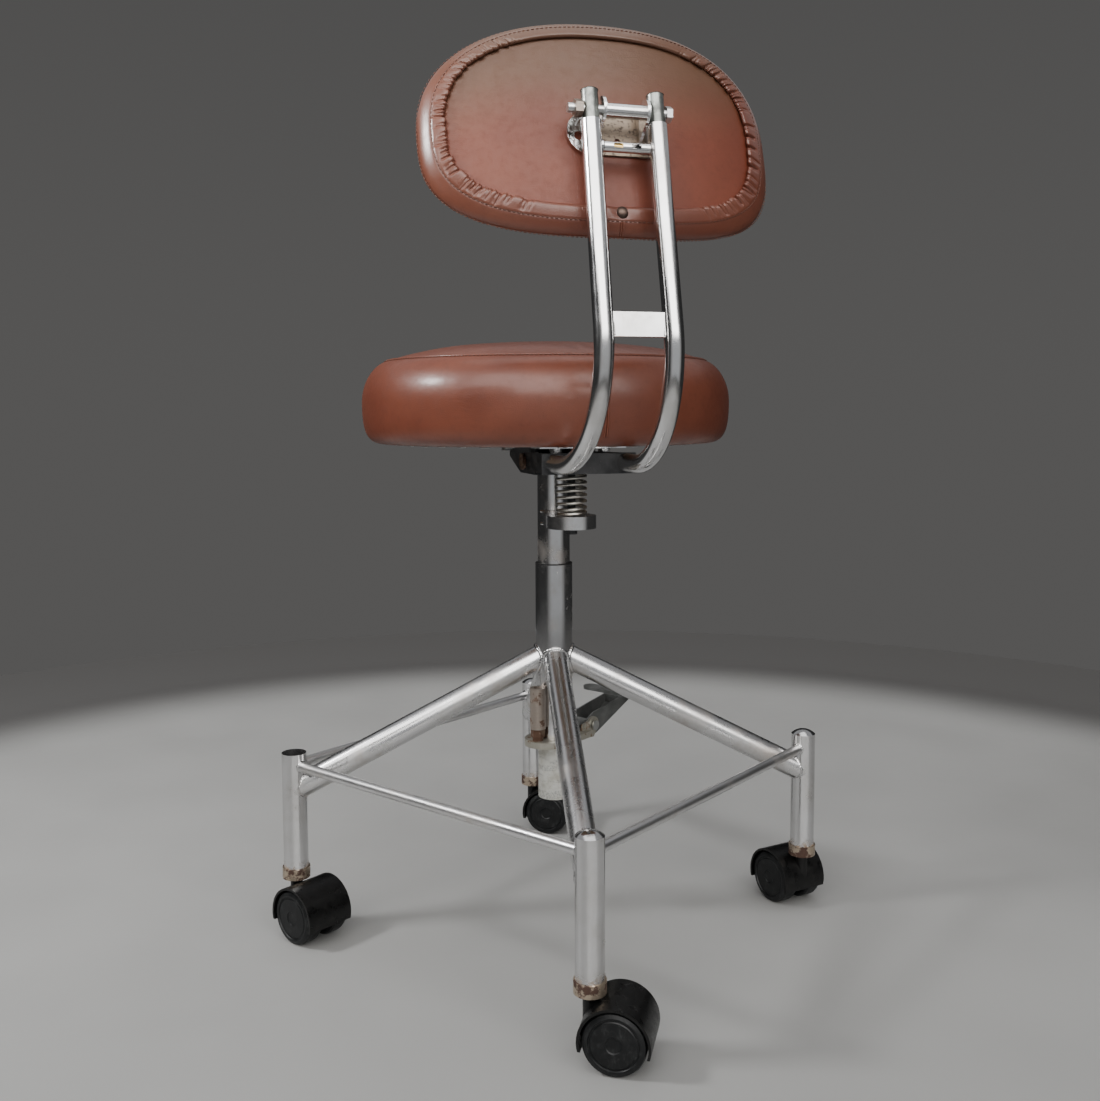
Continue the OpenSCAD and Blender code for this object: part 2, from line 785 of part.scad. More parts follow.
module caster_hood(k) {
    color("#151515") at_caster(k) difference() {
        union() {
            translate([caster_trail, 0, wheel_r]) rotate([90, 0, 0]) {
                difference() {
                    cylinder(r = hood_out_r, h = 2 * hood_half_w, center = true);
                    cylinder(r = hood_in_r, h = 2 * hood_half_w + over, center = true);
                    translate([-50, -108, -50]) cube([100, 100, 100]);
                }
                difference() {
                    cylinder(r = hood_in_r + over, h = 2 * hub_half, center = true);
                    translate([-50, -106, -50]) cube([100, 100, 100]);
                }
                cylinder(r = 9, h = 2 * hub_half, center = true);
            }
            post_between(boss_r, 30, boss_top);
        }
        post_between(spigot_r, 36, boss_top + over);
        translate([caster_trail, 0, wheel_r]) rotate([90, 0, 0])
            cylinder(r = caster_axle_r, h = 40, center = true);
    }
}

module caster_spindle(k) {
    color("darkgray") at_caster(k) {
        post_between(spigot_r, 36, ferrule_bottom);
        post_between(stem_r, boss_top + 0.2, stem_top);
        translate([caster_trail, 0, wheel_r]) rotate([90, 0, 0])
            cylinder(r = caster_axle_r, h = 2 * (wheel_in + wheel_w - 4), center = true);
    }
}

// One wheel, revolved about its axle: side is 1 or -1 for the two sides of the hub
module caster_wheel(k, side) {
    r = wheel_r;
    w = wheel_w;
    color("#1c1c1c") at_caster(k) translate([caster_trail, 0, wheel_r]) rotate([side * -90, 0, 0])
        translate([0, 0, wheel_in]) rotate_extrude() polygon([
            [caster_axle_r + clear, 0], [r - 3, 0], [r - 1, 0.8], [r, 3], [r, w - 4], [r - 1.2, w - 1.2],
            [r - 4, w], [r - 5.5, w], [r - 6.2, w - 1], [r - 7, w - 1], [r - 8, w - 0.4], [7, w],
            [6, w - 0.8], [0, w - 0.8], [0, w - 3.6], [caster_axle_r + clear, w - 3.6]
        ]);
}

module caster_hood_rear() { caster_hood(0); }
module caster_hood_right() { caster_hood(1); }
module caster_hood_front() { caster_hood(2); }
module caster_hood_left() { caster_hood(3); }
module caster_spindle_rear() { caster_spindle(0); }
module caster_spindle_right() { caster_spindle(1); }
module caster_spindle_front() { caster_spindle(2); }
module caster_spindle_left() { caster_spindle(3); }
module wheel_rear_a() { caster_wheel(0, 1); }
module wheel_rear_b() { caster_wheel(0, -1); }
module wheel_right_a() { caster_wheel(1, 1); }
module wheel_right_b() { caster_wheel(1, -1); }
module wheel_front_a() { caster_wheel(2, 1); }
module wheel_front_b() { caster_wheel(2, -1); }
module wheel_left_a() { caster_wheel(3, 1); }
module wheel_left_b() { caster_wheel(3, -1); }

column_tube();
leg_tubes();
corner_posts();
open_post();
post_caps();
ferrules();
stretcher_rods();
gas_cylinder();
cylinder_sleeve();
pedal_bracket();
guide_sleeve();
adjusting_bolt();
pedal_lever();
pedal_pin();
pedal_spring();
column_bush();
gas_rod();
gas_piston();
thrust_washer();
seat_post();
post_plug();
clamp_plate();
spring_rod();
recline_spring();
mechanism_channel();
seat_plate();
seat_bolts();
recline_axle();
back_carrier();
seat_base();
seat_cushion();
back_tube_left();
back_tube_right();
tube_inserts();
mid_cross_plate();
stop_tube();
stop_pin();
pad_bolt();
pad_nut();
spacer_tube();
pad_bracket();
pad_board();
back_pad();
button_stud();
caster_hood_rear();
caster_hood_right();
caster_hood_front();
caster_hood_left();
caster_spindle_rear();
caster_spindle_right();
caster_spindle_front();
caster_spindle_left();
wheel_rear_a();
wheel_rear_b();
wheel_right_a();
wheel_right_b();
wheel_front_a();
wheel_front_b();
wheel_left_a();
wheel_left_b();
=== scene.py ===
"""The looks of a drafting chair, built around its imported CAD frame. Metres, Z up, the back towards +Y."""
import json
import math
import random

import bpy
import numpy as np
from mathutils import Matrix, Vector
from mathutils.bvhtree import BVHTree
from mathutils.geometry import interpolate_bezier

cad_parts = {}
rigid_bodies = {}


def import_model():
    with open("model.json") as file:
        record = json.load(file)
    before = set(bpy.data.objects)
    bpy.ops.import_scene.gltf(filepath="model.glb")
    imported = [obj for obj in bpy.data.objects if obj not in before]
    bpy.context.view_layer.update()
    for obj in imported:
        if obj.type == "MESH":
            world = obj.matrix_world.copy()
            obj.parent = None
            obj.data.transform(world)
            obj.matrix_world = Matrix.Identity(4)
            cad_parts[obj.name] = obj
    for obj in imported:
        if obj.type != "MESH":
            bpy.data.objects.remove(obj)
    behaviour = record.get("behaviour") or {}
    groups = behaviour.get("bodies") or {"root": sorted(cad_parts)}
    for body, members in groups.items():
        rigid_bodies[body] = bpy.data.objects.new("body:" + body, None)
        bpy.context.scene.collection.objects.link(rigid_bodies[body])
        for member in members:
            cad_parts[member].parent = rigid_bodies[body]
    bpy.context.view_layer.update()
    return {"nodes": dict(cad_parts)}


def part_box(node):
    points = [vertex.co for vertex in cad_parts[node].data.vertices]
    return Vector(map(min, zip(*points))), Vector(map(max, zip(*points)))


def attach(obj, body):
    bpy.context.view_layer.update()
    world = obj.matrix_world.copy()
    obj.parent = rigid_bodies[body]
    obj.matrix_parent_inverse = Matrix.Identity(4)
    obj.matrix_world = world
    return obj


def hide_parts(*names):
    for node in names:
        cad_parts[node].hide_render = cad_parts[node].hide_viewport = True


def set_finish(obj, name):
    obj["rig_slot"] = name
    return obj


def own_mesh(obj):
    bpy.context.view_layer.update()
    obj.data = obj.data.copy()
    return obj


for leftover in list(bpy.data.objects):
    bpy.data.objects.remove(leftover)
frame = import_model()

MM = 0.001
TURN = 2 * math.pi


# ---- places taken from the frame ----

def middle(node):
    low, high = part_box(node)
    return (low + high) / 2


def size(node):
    low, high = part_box(node)
    return high - low


CORNERS = ["rear", "right", "front", "left"]
LEFT_POST = middle("open_post")
POST_CIRCLE = Vector((LEFT_POST.x, LEFT_POST.y)).length
POST_TURN = math.atan2(LEFT_POST.y, LEFT_POST.x) + math.pi / 2
POST_R = size("open_post").x / 2
COLUMN_R = size("column_tube").x / 2
SEAT_POST_R = size("seat_post").x / 2
ROD_R = size("stretcher_rods").z / 2
ROD_Z = middle("stretcher_rods").z
ROD_SIDES = [0, 2, 3]
LEG_HIGH_Z = 277 * MM
LEG_LOW_Z = 155 * MM

SEAT_CENTRE = middle("seat_cushion")
SEAT_R = size("seat_cushion").x / 2
SEAT_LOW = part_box("seat_cushion")[0].z
SEAT_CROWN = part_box("seat_cushion")[1].z
SEAT_BASE_R = size("seat_base").x / 2
SEAT_SEAM_R = SEAT_R - 26 * MM
SEAT_SEAM_Z = SEAT_CROWN - 19.5 * MM

PAD_HALF_W = size("back_pad").x / 2
PAD_HALF_H = 98.5 * MM
PAD_CURVE = 365 * MM
PAD_LEAN = math.radians(14.5)
PAD_ORIGIN = Vector((0, 176.8 * MM, 773.9 * MM))
PAD_POWER = 0.75
PAD_BACK = 8 * MM
PAD_FRONT = -25 * MM

TUBE_LEAN = math.radians(11.43)
SPRING_LOW, SPRING_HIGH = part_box("recline_spring")


def round_axis(radius, angle, height=0.0):
    """A point at a distance from the column's axis."""
    return Vector((radius * math.cos(angle), radius * math.sin(angle), height))


def post_place(corner):
    """The centre of corner post number corner, at floor level."""
    return round_axis(POST_CIRCLE, POST_TURN + corner * math.pi / 2)


# ---- making meshes ----

def new_object(name, vertices, faces, material, slot):
    mesh = bpy.data.meshes.new(name)
    mesh.from_pydata([tuple(v) for v in vertices], [], [tuple(f) for f in faces])
    mesh.update()
    mesh.materials.append(material)
    mesh.polygons.foreach_set("use_smooth", [True] * len(mesh.polygons))
    made = bpy.data.objects.new(name, mesh)
    bpy.context.scene.collection.objects.link(made)
    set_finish(made, slot)
    return made


def grid_faces(rows, columns, closed):
    """Quads between rows of points, each row columns long and joined end to start when closed."""
    faces = []
    last = columns if closed else columns - 1
    for row in range(rows - 1):
        for column in range(last):
            after = (column + 1) % columns
            faces.append((row * columns + column, row * columns + after,
                          (row + 1) * columns + after, (row + 1) * columns + column))
    return faces


def frames_along(path, closed):
    """Unit tangent, side and up vectors at each point of a path, turning as little as they can."""
    path = np.asarray(path, float)
    if closed:
        tangent = np.roll(path, -1, 0) - np.roll(path, 1, 0)
    else:
        tangent = np.gradient(path, axis=0)
    tangent /= np.linalg.norm(tangent, axis=1)[:, None]
    first = np.cross(tangent[0], (0.12, 0.31, 0.94))
    side = np.empty_like(path)
    side[0] = first / np.linalg.norm(first)
    for i in range(1, len(path)):
        turned = side[i - 1] - tangent[i] * (side[i - 1] @ tangent[i])
        side[i] = turned / np.linalg.norm(turned)
    up = np.cross(tangent, side)
    if closed:
        ending = side[-1] - tangent[0] * (side[-1] @ tangent[0])
        miss = math.atan2(ending @ up[0], ending @ side[0])
        share = -miss * np.arange(len(path)) / len(path)
        cosine, sine = np.cos(share)[:, None], np.sin(share)[:, None]
        side, up = side * cosine + up * sine, up * cosine - side * sine
    return tangent, side, up


def swept(name, path, radius, material, slot, closed=False, sides=12):
    """A round bar along a path. radius is one number or one for each point."""
    path = np.asarray(path, float)
    radius = np.broadcast_to(radius, len(path))[:, None]
    _, side, up = frames_along(path, closed)
    rings = []
    for k in range(sides):
        angle = TURN * k / sides
        rings.append(path + radius * (side * math.cos(angle) + up * math.sin(angle)))
    points = np.stack(rings, 1).reshape(-1, 3)
    faces = grid_faces(len(path), sides, True)
    if closed:
        last = (len(path) - 1) * sides
        faces += [(last + k, last + (k + 1) % sides, (k + 1) % sides, k) for k in range(sides)]
    else:
        faces.append(tuple(range(sides - 1, -1, -1)))
        faces.append(tuple((len(path) - 1) * sides + k for k in range(sides)))
    return new_object(name, points, faces, material, slot)


def joined(name, pieces):
    """One object from several that share a material."""
    points, faces = [], []
    for piece in pieces:
        start = len(points)
        points += [tuple(v.co) for v in piece.data.vertices]
        faces += [tuple(start + i for i in p.vertices) for p in piece.data.polygons]
    first = pieces[0]
    made = new_object(name, points, faces, first.data.materials[0], first["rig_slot"])
    for piece in pieces:
        bpy.data.objects.remove(piece)
    return made


def along(path, step, closed=True):
    """Points spaced evenly along a path, with the distance from one to the next close to step."""
    path = np.asarray(path, float)
    if closed:
        path = np.vstack([path, path[:1]])
    reach = np.concatenate([[0], np.cumsum(np.linalg.norm(np.diff(path, axis=0), axis=1))])
    count = max(2, round(reach[-1] / step))
    places = np.linspace(0, reach[-1], count, endpoint=not closed)
    return np.stack([np.interp(places, reach, path[:, k]) for k in range(3)], 1)


def stitches(name, path, material, slot, length, pitch, thickness):
    """A row of short raised threads that follows a closed path."""
    centres = along(path, pitch)
    tangent, side, up = frames_along(centres, True)
    profile = [(-0.5, 0.35), (-0.38, 0.9), (0, 1.1), (0.38, 0.9), (0.5, 0.35)]
    sides = 6
    points, faces = [], []
    for centre, ahead, across, above in zip(centres, tangent, side, up):
        start = len(points)
        for place, width in profile:
            for k in range(sides):
                angle = TURN * k / sides
                spread = across * math.cos(angle) + above * math.sin(angle)
                points.append(centre + ahead * place * length + spread * width * thickness)
        faces += [tuple(start + i for i in f) for f in grid_faces(len(profile), sides, True)]
        faces.append(tuple(start + k for k in range(sides - 1, -1, -1)))
        faces.append(tuple(start + (len(profile) - 1) * sides + k for k in range(sides)))
    return new_object(name, points, faces, material, slot)


# ---- materials ----

class Pattern:
    """Short names for the nodes of a shader."""

    def __init__(self, tree, coordinates):
        self.tree = tree
        self.place = tree.nodes.new("ShaderNodeTexCoord").outputs[coordinates]

    def node(self, kind, inputs, **settings):
        made = self.tree.nodes.new("ShaderNode" + kind)
        for key, value in settings.items():
            setattr(made, key, value)
        for key, value in inputs.items():
            self.feed(made.inputs[key], value)
        return made

    def feed(self, socket, value):
        if isinstance(value, bpy.types.NodeSocket):
            self.tree.links.new(value, socket)
        else:
            socket.default_value = value

    def stretched(self, x, y, z):
        return self.node("Mapping", {"Vector": self.place, "Scale": (x, y, z)}).outputs["Vector"]

    def noise(self, scale, detail=4.0, roughness=0.55, where=None, distortion=0.0):
        inputs = {"Vector": where or self.place, "Scale": scale, "Detail": detail,
                  "Roughness": roughness, "Distortion": distortion}
        return self.node("TexNoise", inputs).outputs["Fac"]

    def cells(self, scale, feature="F1"):
        inputs = {"Vector": self.place, "Scale": scale}
        return self.node("TexVoronoi", inputs, feature=feature).outputs["Distance"]

    def axis(self, letter):
        return self.node("SeparateXYZ", {"Vector": self.place}).outputs[letter]

    def level(self, value, low, high, out_low=0.0, out_high=1.0):
        inputs = {"Value": value, "From Min": low, "From Max": high,
                  "To Min": out_low, "To Max": out_high}
        return self.node("MapRange", inputs, interpolation_type="SMOOTHSTEP").outputs["Result"]

    def calc(self, operation, a, b):
        return self.node("Math", {0: a, 1: b}, operation=operation).outputs[0]

    def times(self, a, b):
        return self.calc("MULTIPLY", a, b)

    def plus(self, a, b):
        return self.calc("ADD", a, b)

    def mix(self, share, a, b):
        return self.node("Mix", {0: share, 6: a, 7: b}, data_type="RGBA").outputs[2]

    def bump(self, height, distance, strength=1.0, under=None):
        inputs = {"Height": height, "Distance": distance, "Strength": strength}
        if under is not None:
            inputs["Normal"] = under
        return self.node("Bump", inputs).outputs["Normal"]


class Finish(Pattern):
    """A procedural material. Its patterns are laid out in the row frame, in metres."""

    def __init__(self, name):
        self.material = bpy.data.materials.new(name)
        self.material.use_nodes = True
        super().__init__(self.material.node_tree, "Object")
        self.shader = self.tree.nodes["Principled BSDF"]

    def finish(self, **inputs):
        for key, value in inputs.items():
            self.feed(self.shader.inputs[key.replace("_", " ")], value)
        return self.material


def rgb(red, green, blue):
    return (red, green, blue, 1.0)


def shade(colour, share):
    return rgb(*[share * c for c in colour])


def chrome(name, bright, grime, rust_top=None, rust_reach=0.03, streaks=(1, 1, 0.06),
           dull=0.0, spots=0.0):
    """Old polished chrome: fine wiping marks, hazy patches, pinholes, dark spots where the plating
    has gone, and rust that gathers below rust_top."""
    f = Finish(name)
    haze = f.noise(22, 5, 0.6)
    wiping = f.noise(420, 3, 0.6, where=f.stretched(*streaks))
    pinholes = f.level(f.cells(260), 0.10, 0.03)
    patches = f.level(f.noise(95, 4, 0.7), 0.56, 0.70)
    pits = f.times(pinholes, patches)
    blots = f.times(f.level(f.cells(75), 0.22, 0.14), f.level(f.noise(38, 4, 0.6), 0.50, 0.56))
    pits = f.calc("MAXIMUM", pits, f.times(blots, spots))
    stain = f.times(f.level(haze, 0.52, 0.74), grime)
    if rust_top is not None:
        near = f.level(f.axis("Z"), rust_top + rust_reach, rust_top)
        flaky = f.level(f.noise(170, 5, 0.7), 0.44, 0.60)
        stain = f.calc("MAXIMUM", stain, f.times(near, flaky))
    clean = f.mix(f.level(haze, 0.3, 0.7), rgb(bright, bright, bright * 1.01),
                  rgb(bright * 0.88, bright * 0.87, bright * 0.86))
    stained = f.mix(stain, clean, rgb(0.30, 0.20, 0.12))
    colour = f.mix(pits, stained, rgb(0.07, 0.04, 0.025))
    rough = f.plus(f.level(haze, 0.25, 0.8, 0.075 + dull, 0.20 + dull), f.times(wiping, 0.07))
    rough = f.plus(rough, f.times(f.calc("MAXIMUM", stain, pits), 0.4))
    marks = f.bump(wiping, 0.00004)
    return f.finish(Base_Color=colour, Metallic=f.level(f.calc("MAXIMUM", stain, pits), 0, 1, 1, 0.35),
                    Roughness=rough, Normal=f.bump(pits, -0.0002, 1.0, marks))


def rusted(name, metal, rust, amount, scale, rough):
    """Bare or zinc-plated steel with patches of brown rust."""
    f = Finish(name)
    patches = f.level(f.noise(scale, 6, 0.68), 0.64 - 0.25 * amount, 0.70 - 0.22 * amount)
    dirt = f.noise(scale * 5, 5, 0.65)
    bare = f.mix(dirt, rgb(*metal), shade(metal, 0.72))
    brown = f.mix(dirt, rgb(*rust), shade(rust, 0.45))
    grain = f.bump(dirt, 0.00015, 0.7)
    return f.finish(Base_Color=f.mix(patches, bare, brown), Metallic=f.level(patches, 0, 1, 0.85, 0.1),
                    Roughness=f.level(patches, 0, 1, rough, 0.78),
                    Normal=f.bump(patches, 0.0003, 0.6, grain))


def stained_bracket(name):
    """A chromed plate whose middle, between the ears, has gone tan and speckled with rust."""
    f = Finish(name)
    inner = f.times(f.level(f.calc("ABSOLUTE", f.axis("X"), 0.0), 0.031, 0.026),
                    f.level(f.axis("Y"), 0.199, 0.194))
    speckle = f.times(f.level(f.noise(300, 5, 0.6), 0.50, 0.66), 0.8)
    cloud = f.noise(90, 5, 0.65)
    tan = f.mix(cloud, rgb(0.40, 0.33, 0.26), rgb(0.23, 0.17, 0.12))
    tan = f.mix(speckle, tan, rgb(0.06, 0.04, 0.03))
    haze = f.level(cloud, 0.55, 0.8, 0.0, 0.22)
    colour = f.mix(inner, f.mix(haze, rgb(0.78, 0.78, 0.78), rgb(0.5, 0.45, 0.38)), tan)
    return f.finish(Base_Color=colour, Metallic=f.level(inner, 0, 1, 1, 0.45),
                    Roughness=f.plus(f.level(inner, 0, 1, 0.10, 0.36), f.times(cloud, 0.1)),
                    Normal=f.bump(speckle, -0.0002, 0.7))


def brushed(name, colour, rough, wear, scale=70):
    """Dull machined or zinc-plated metal with darker handling marks."""
    f = Finish(name)
    cloud = f.noise(scale, 5, 0.62)
    scratch = f.noise(900, 2, 0.5, where=f.stretched(1, 1, 0.08))
    worn = f.times(f.level(cloud, 0.42, 0.72), wear)
    tone = f.mix(worn, rgb(*colour), shade(colour, 0.4))
    roughness = f.plus(f.level(cloud, 0.3, 0.75, rough, rough + 0.16), f.times(scratch, 0.08))
    return f.finish(Base_Color=tone, Metallic=1.0, Roughness=roughness,
                    Normal=f.bump(scratch, 0.00005))


def painted(name, colour, bare, rough=0.38):
    """Black or grey stove enamel, chipped and dusty."""
    f = Finish(name)
    chips = f.level(f.noise(140, 6, 0.75), 0.66, 0.69)
    dust = f.noise(55, 5, 0.7)
    coat = f.mix(f.level(dust, 0.35, 0.8), rgb(*colour), rgb(*[0.05 + 1.4 * c for c in colour]))
    peel = f.bump(f.noise(700, 2, 0.5), 0.00008)
    return f.finish(Base_Color=f.mix(chips, coat, rgb(*bare)), Metallic=f.level(chips, 0, 1, 0.05, 0.9),
                    Roughness=f.level(dust, 0.3, 0.8, rough, rough + 0.25),
                    Normal=f.bump(chips, -0.0001, 1.0, peel))


def plastic(name, colour, scuff, amount, rough):
    """Black moulded nylon with a fine spark texture and greyed scuffs."""
    f = Finish(name)
    patchy = f.noise(120, 6, 0.72)
    swipes = f.noise(260, 4, 0.7, where=f.stretched(1, 1, 0.35), distortion=0.6)
    worn = f.times(f.times(f.level(patchy, 0.44, 0.66), f.level(swipes, 0.4, 0.7)), amount)
    spark = f.noise(1600, 2, 0.6)
    return f.finish(Base_Color=f.mix(worn, rgb(*colour), rgb(*scuff)), Specular_IOR_Level=0.28,
                    Roughness=f.level(patchy, 0.3, 0.75, rough, rough + 0.22),
                    Normal=f.bump(swipes, 0.0001, 0.4, f.bump(spark, 0.00006)))


def vinyl(name, deep, light, wrinkles, wrinkle_depth, rough, coat, browner_above=None):
    """Padded vinyl: a fine leather grain, soft creases, slightly uneven dye, and a browner tone above the
    height browner_above.
    """
    f = Finish(name)
    dye = f.noise(9, 4, 0.6)
    mottle = f.noise(160, 5, 0.65)
    pebbles = f.cells(1250, feature="SMOOTH_F1")
    pores = f.noise(2600, 2, 0.5)
    creases = f.noise(85, 5, 0.6, where=f.stretched(*wrinkles), distortion=0.4)
    strength = f.level(f.noise(14, 3, 0.5), 0.42, 0.68)
    tone = f.mix(f.level(dye, 0.32, 0.70), rgb(*deep), rgb(*light))
    tone = f.mix(f.times(f.level(mottle, 0.45, 0.8), 0.30), tone, shade(deep, 0.62))
    # Browner towards the top: the tone changes by height alone, above browner_above.
    if browner_above is not None:
        high = f.level(f.plus(f.axis("Z"), f.times(dye, 0.06)), browner_above, browner_above + 0.075)
        tone = f.mix(f.times(high, 0.75), tone, rgb(0.140, 0.080, 0.043))
    rub = f.times(f.level(f.cells(1250), 0.35, 0.05), 0.10)
    tone = f.mix(rub, tone, shade(light, 1.5))
    folded = f.bump(f.times(creases, strength), wrinkle_depth * 4, 0.8)
    grain = f.bump(pebbles, 0.00010, 0.75, f.bump(pores, 0.00003, 0.6, folded))
    roughness = f.plus(f.level(mottle, 0.3, 0.8, rough, rough + 0.12), f.times(pebbles, 0.06))
    return f.finish(Base_Color=tone, Roughness=roughness, Normal=grain, Specular_IOR_Level=0.45,
                    Coat_Weight=coat, Coat_Roughness=0.20)


def wood(name):
    """The pale edge and underside of a plywood disc."""
    f = Finish(name)
    rings = f.noise(26, 5, 0.6, where=f.stretched(1, 9, 40))
    fibres = f.noise(330, 4, 0.7, where=f.stretched(1, 12, 12))
    plies = f.level(f.calc("SINE", f.times(f.axis("Z"), 2600), 0.0), -0.4, 0.4)
    tone = f.mix(rings, rgb(0.20, 0.12, 0.065), rgb(0.30, 0.19, 0.11))
    tone = f.mix(f.times(plies, 0.35), tone, rgb(0.13, 0.075, 0.04))
    return f.finish(Base_Color=tone, Roughness=f.level(fibres, 0.3, 0.8, 0.55, 0.8),
                    Normal=f.bump(fibres, 0.0002, 0.7))


def worn_label(name):
    """A silvery sleeve whose printed bands have worn to blank grey blocks."""
    f = Finish(name)
    bands = f.level(f.noise(95, 1, 0.4, where=f.stretched(0.25, 0.25, 1.6)), 0.50, 0.56)
    rubbed = f.level(f.noise(520, 4, 0.8), 0.42, 0.62)
    print_left = f.times(f.times(bands, rubbed), 0.55)
    dirt = f.noise(60, 5, 0.7)
    base = f.mix(f.level(dirt, 0.35, 0.75), rgb(0.66, 0.66, 0.62), rgb(0.42, 0.40, 0.34))
    return f.finish(Base_Color=f.mix(print_left, base, rgb(0.16, 0.17, 0.17)), Metallic=0.55,
                    Roughness=f.level(dirt, 0.3, 0.7, 0.34, 0.55), Normal=f.bump(rubbed, 0.00006, 0.6))


def thread(name, colour):
    f = Finish(name)
    twist = f.noise(2400, 2, 0.5)
    return f.finish(Base_Color=f.mix(twist, rgb(*colour), shade(colour, 0.55)), Roughness=0.42,
                    Normal=f.bump(twist, 0.0001))


RUST = (0.11, 0.052, 0.028)
MATERIALS = {
    "column": chrome("column_chrome", 0.66, 0.5, spots=0.5),
    "legs": chrome("leg_chrome", 0.68, 0.35, streaks=(0.5, 0.5, 0.5), dull=0.11),
    "posts": chrome("post_chrome", 0.68, 0.14, rust_top=0.066, rust_reach=0.012, dull=0.04),
    "caps": chrome("cap_chrome", 0.66, 0.55),
    "rods": chrome("rod_chrome", 0.74, 0.25, streaks=(0.4, 0.4, 1), dull=0.20),
    "tubes": chrome("tube_chrome", 0.76, 0.08),
    "plates": chrome("plate_chrome", 0.82, 0.18),
    "weld": chrome("weld_chrome", 0.60, 0.65, streaks=(1, 1, 1)),
    "bracket": stained_bracket("bracket_steel"),
    "ferrule": rusted("ferrule_steel", (0.52, 0.43, 0.33), (0.085, 0.042, 0.028), 0.62, 60, 0.36),
    "flange": rusted("flange_steel", (0.46, 0.44, 0.38), (0.22, 0.14, 0.08), 0.35, 75, 0.5),
    "sleeve": rusted("sleeve_steel", (0.42, 0.36, 0.31), (0.17, 0.10, 0.065), 0.35, 95, 0.38),
    "rusty": rusted("rusty_steel", (0.25, 0.18, 0.13), RUST, 0.9, 130, 0.6),
    "seat_post": chrome("seat_post_chrome", 0.68, 0.35, streaks=(1, 1, 0.08), spots=0.9),
    "steel": brushed("dull_steel", (0.50, 0.51, 0.50), 0.30, 0.55),
    "zinc": brushed("worn_zinc", (0.25, 0.26, 0.245), 0.27, 0.8, scale=110),
    "bright": brushed("bright_steel", (0.72, 0.72, 0.71), 0.20, 0.25),
    "spring": brushed("oiled_spring", (0.62, 0.60, 0.55), 0.24, 0.6, scale=160),
    "dark": painted("black_enamel", (0.018, 0.019, 0.021), (0.25, 0.23, 0.21)),
    "pedal": painted("grey_enamel", (0.075, 0.078, 0.075), (0.28, 0.26, 0.22), 0.45),
    "hood": plastic("hood_plastic", (0.004, 0.004, 0.004), (0.020, 0.019, 0.018), 0.5, 0.24),
    "wheel": plastic("wheel_plastic", (0.0045, 0.005, 0.0055), (0.040, 0.042, 0.042), 0.8, 0.34),
    "bush": plastic("bush_plastic", (0.012, 0.012, 0.012), (0.05, 0.05, 0.05), 0.4, 0.5),
    "brass": brushed("aged_brass", (0.66, 0.45, 0.17), 0.26, 0.35),
    "wood": wood("plywood"),
    "label": worn_label("worn_sleeve"),
    "vinyl": vinyl("seat_vinyl", (0.150, 0.039, 0.021), (0.205, 0.059, 0.032), (1, 1, 3.2),
                   0.00012, 0.34, 0.25),
    "pad_vinyl": vinyl("pad_vinyl", (0.185, 0.056, 0.034), (0.250, 0.088, 0.055), (1, 1, 1.4),
                       0.00010, 0.28, 0.3, 0.83),
    "panel": vinyl("panel_vinyl", (0.190, 0.045, 0.023), (0.255, 0.067, 0.036), (1, 1, 2.6),
                   0.00016, 0.40, 0.04, 0.79),
    "thread": thread("brown_thread", (0.17, 0.062, 0.036)),
    "stud": brushed("bronzed_stud", (0.12, 0.085, 0.07), 0.34, 0.5),
}

FINISH_NODES = {
    "column": ["column_tube"], "legs": ["leg_tubes"], "posts": ["corner_posts", "open_post"],
    "caps": ["post_caps"], "ferrule": ["ferrules"], "rods": ["stretcher_rods"],
    "bright": ["gas_cylinder", "gas_rod", "seat_bolts", "pad_bolt"], "label": ["cylinder_sleeve"],
    "flange": ["pedal_bracket"], "sleeve": ["guide_sleeve", "pad_nut"],
    "rusty": ["adjusting_bolt", "recline_axle"], "pedal": ["pedal_lever"], "spring": ["pedal_spring"],
    "steel": ["pedal_pin", "gas_piston", "post_plug"], "bush": ["column_bush"],
    "brass": ["thrust_washer", "stop_pin"], "seat_post": ["seat_post"],
    "plates": ["clamp_plate", "seat_plate", "mid_cross_plate", "stop_tube"],
    "dark": ["spring_rod", "mechanism_channel", "back_carrier"], "wood": ["seat_base"],
    "tubes": ["back_tube_left", "back_tube_right", "spacer_tube"], "zinc": ["tube_inserts"],
    "bracket": ["pad_bracket"], "stud": ["button_stud"],
    "hood": [kind + corner for kind in ("caster_hood_", "caster_spindle_") for corner in CORNERS],
    "wheel": ["wheel_" + corner + side for corner in CORNERS for side in ("_a", "_b")],
}
for finish_name, node_names in FINISH_NODES.items():
    for node_name in node_names:
        materials = frame["nodes"][node_name].data.materials
        materials.clear()
        materials.append(MATERIALS[finish_name])


# ---- covers: a grid spread over a rounded outline, with rings of points down its side ----

def disc_grid(cells):
    """Polar angle and relative radius of a square grid spread over a disc, with its faces and rim."""
    steps = np.linspace(-1, 1, cells + 1)
    u, v = np.meshgrid(steps, steps)
    x, y = u * np.sqrt(1 - v * v / 2), v * np.sqrt(1 - u * u / 2)
    angle, radius = np.arctan2(y, x).ravel(), np.hypot(x, y).ravel()
    faces = grid_faces(cells + 1, cells + 1, False)
    row = cells + 1
    rim = [i for i in range(row)] + [i * row + cells for i in range(1, row)]
    rim += [cells * row + i for i in range(cells - 1, -1, -1)] + [i * row for i in range(cells - 1, 0, -1)]
    return angle, radius, faces, rim


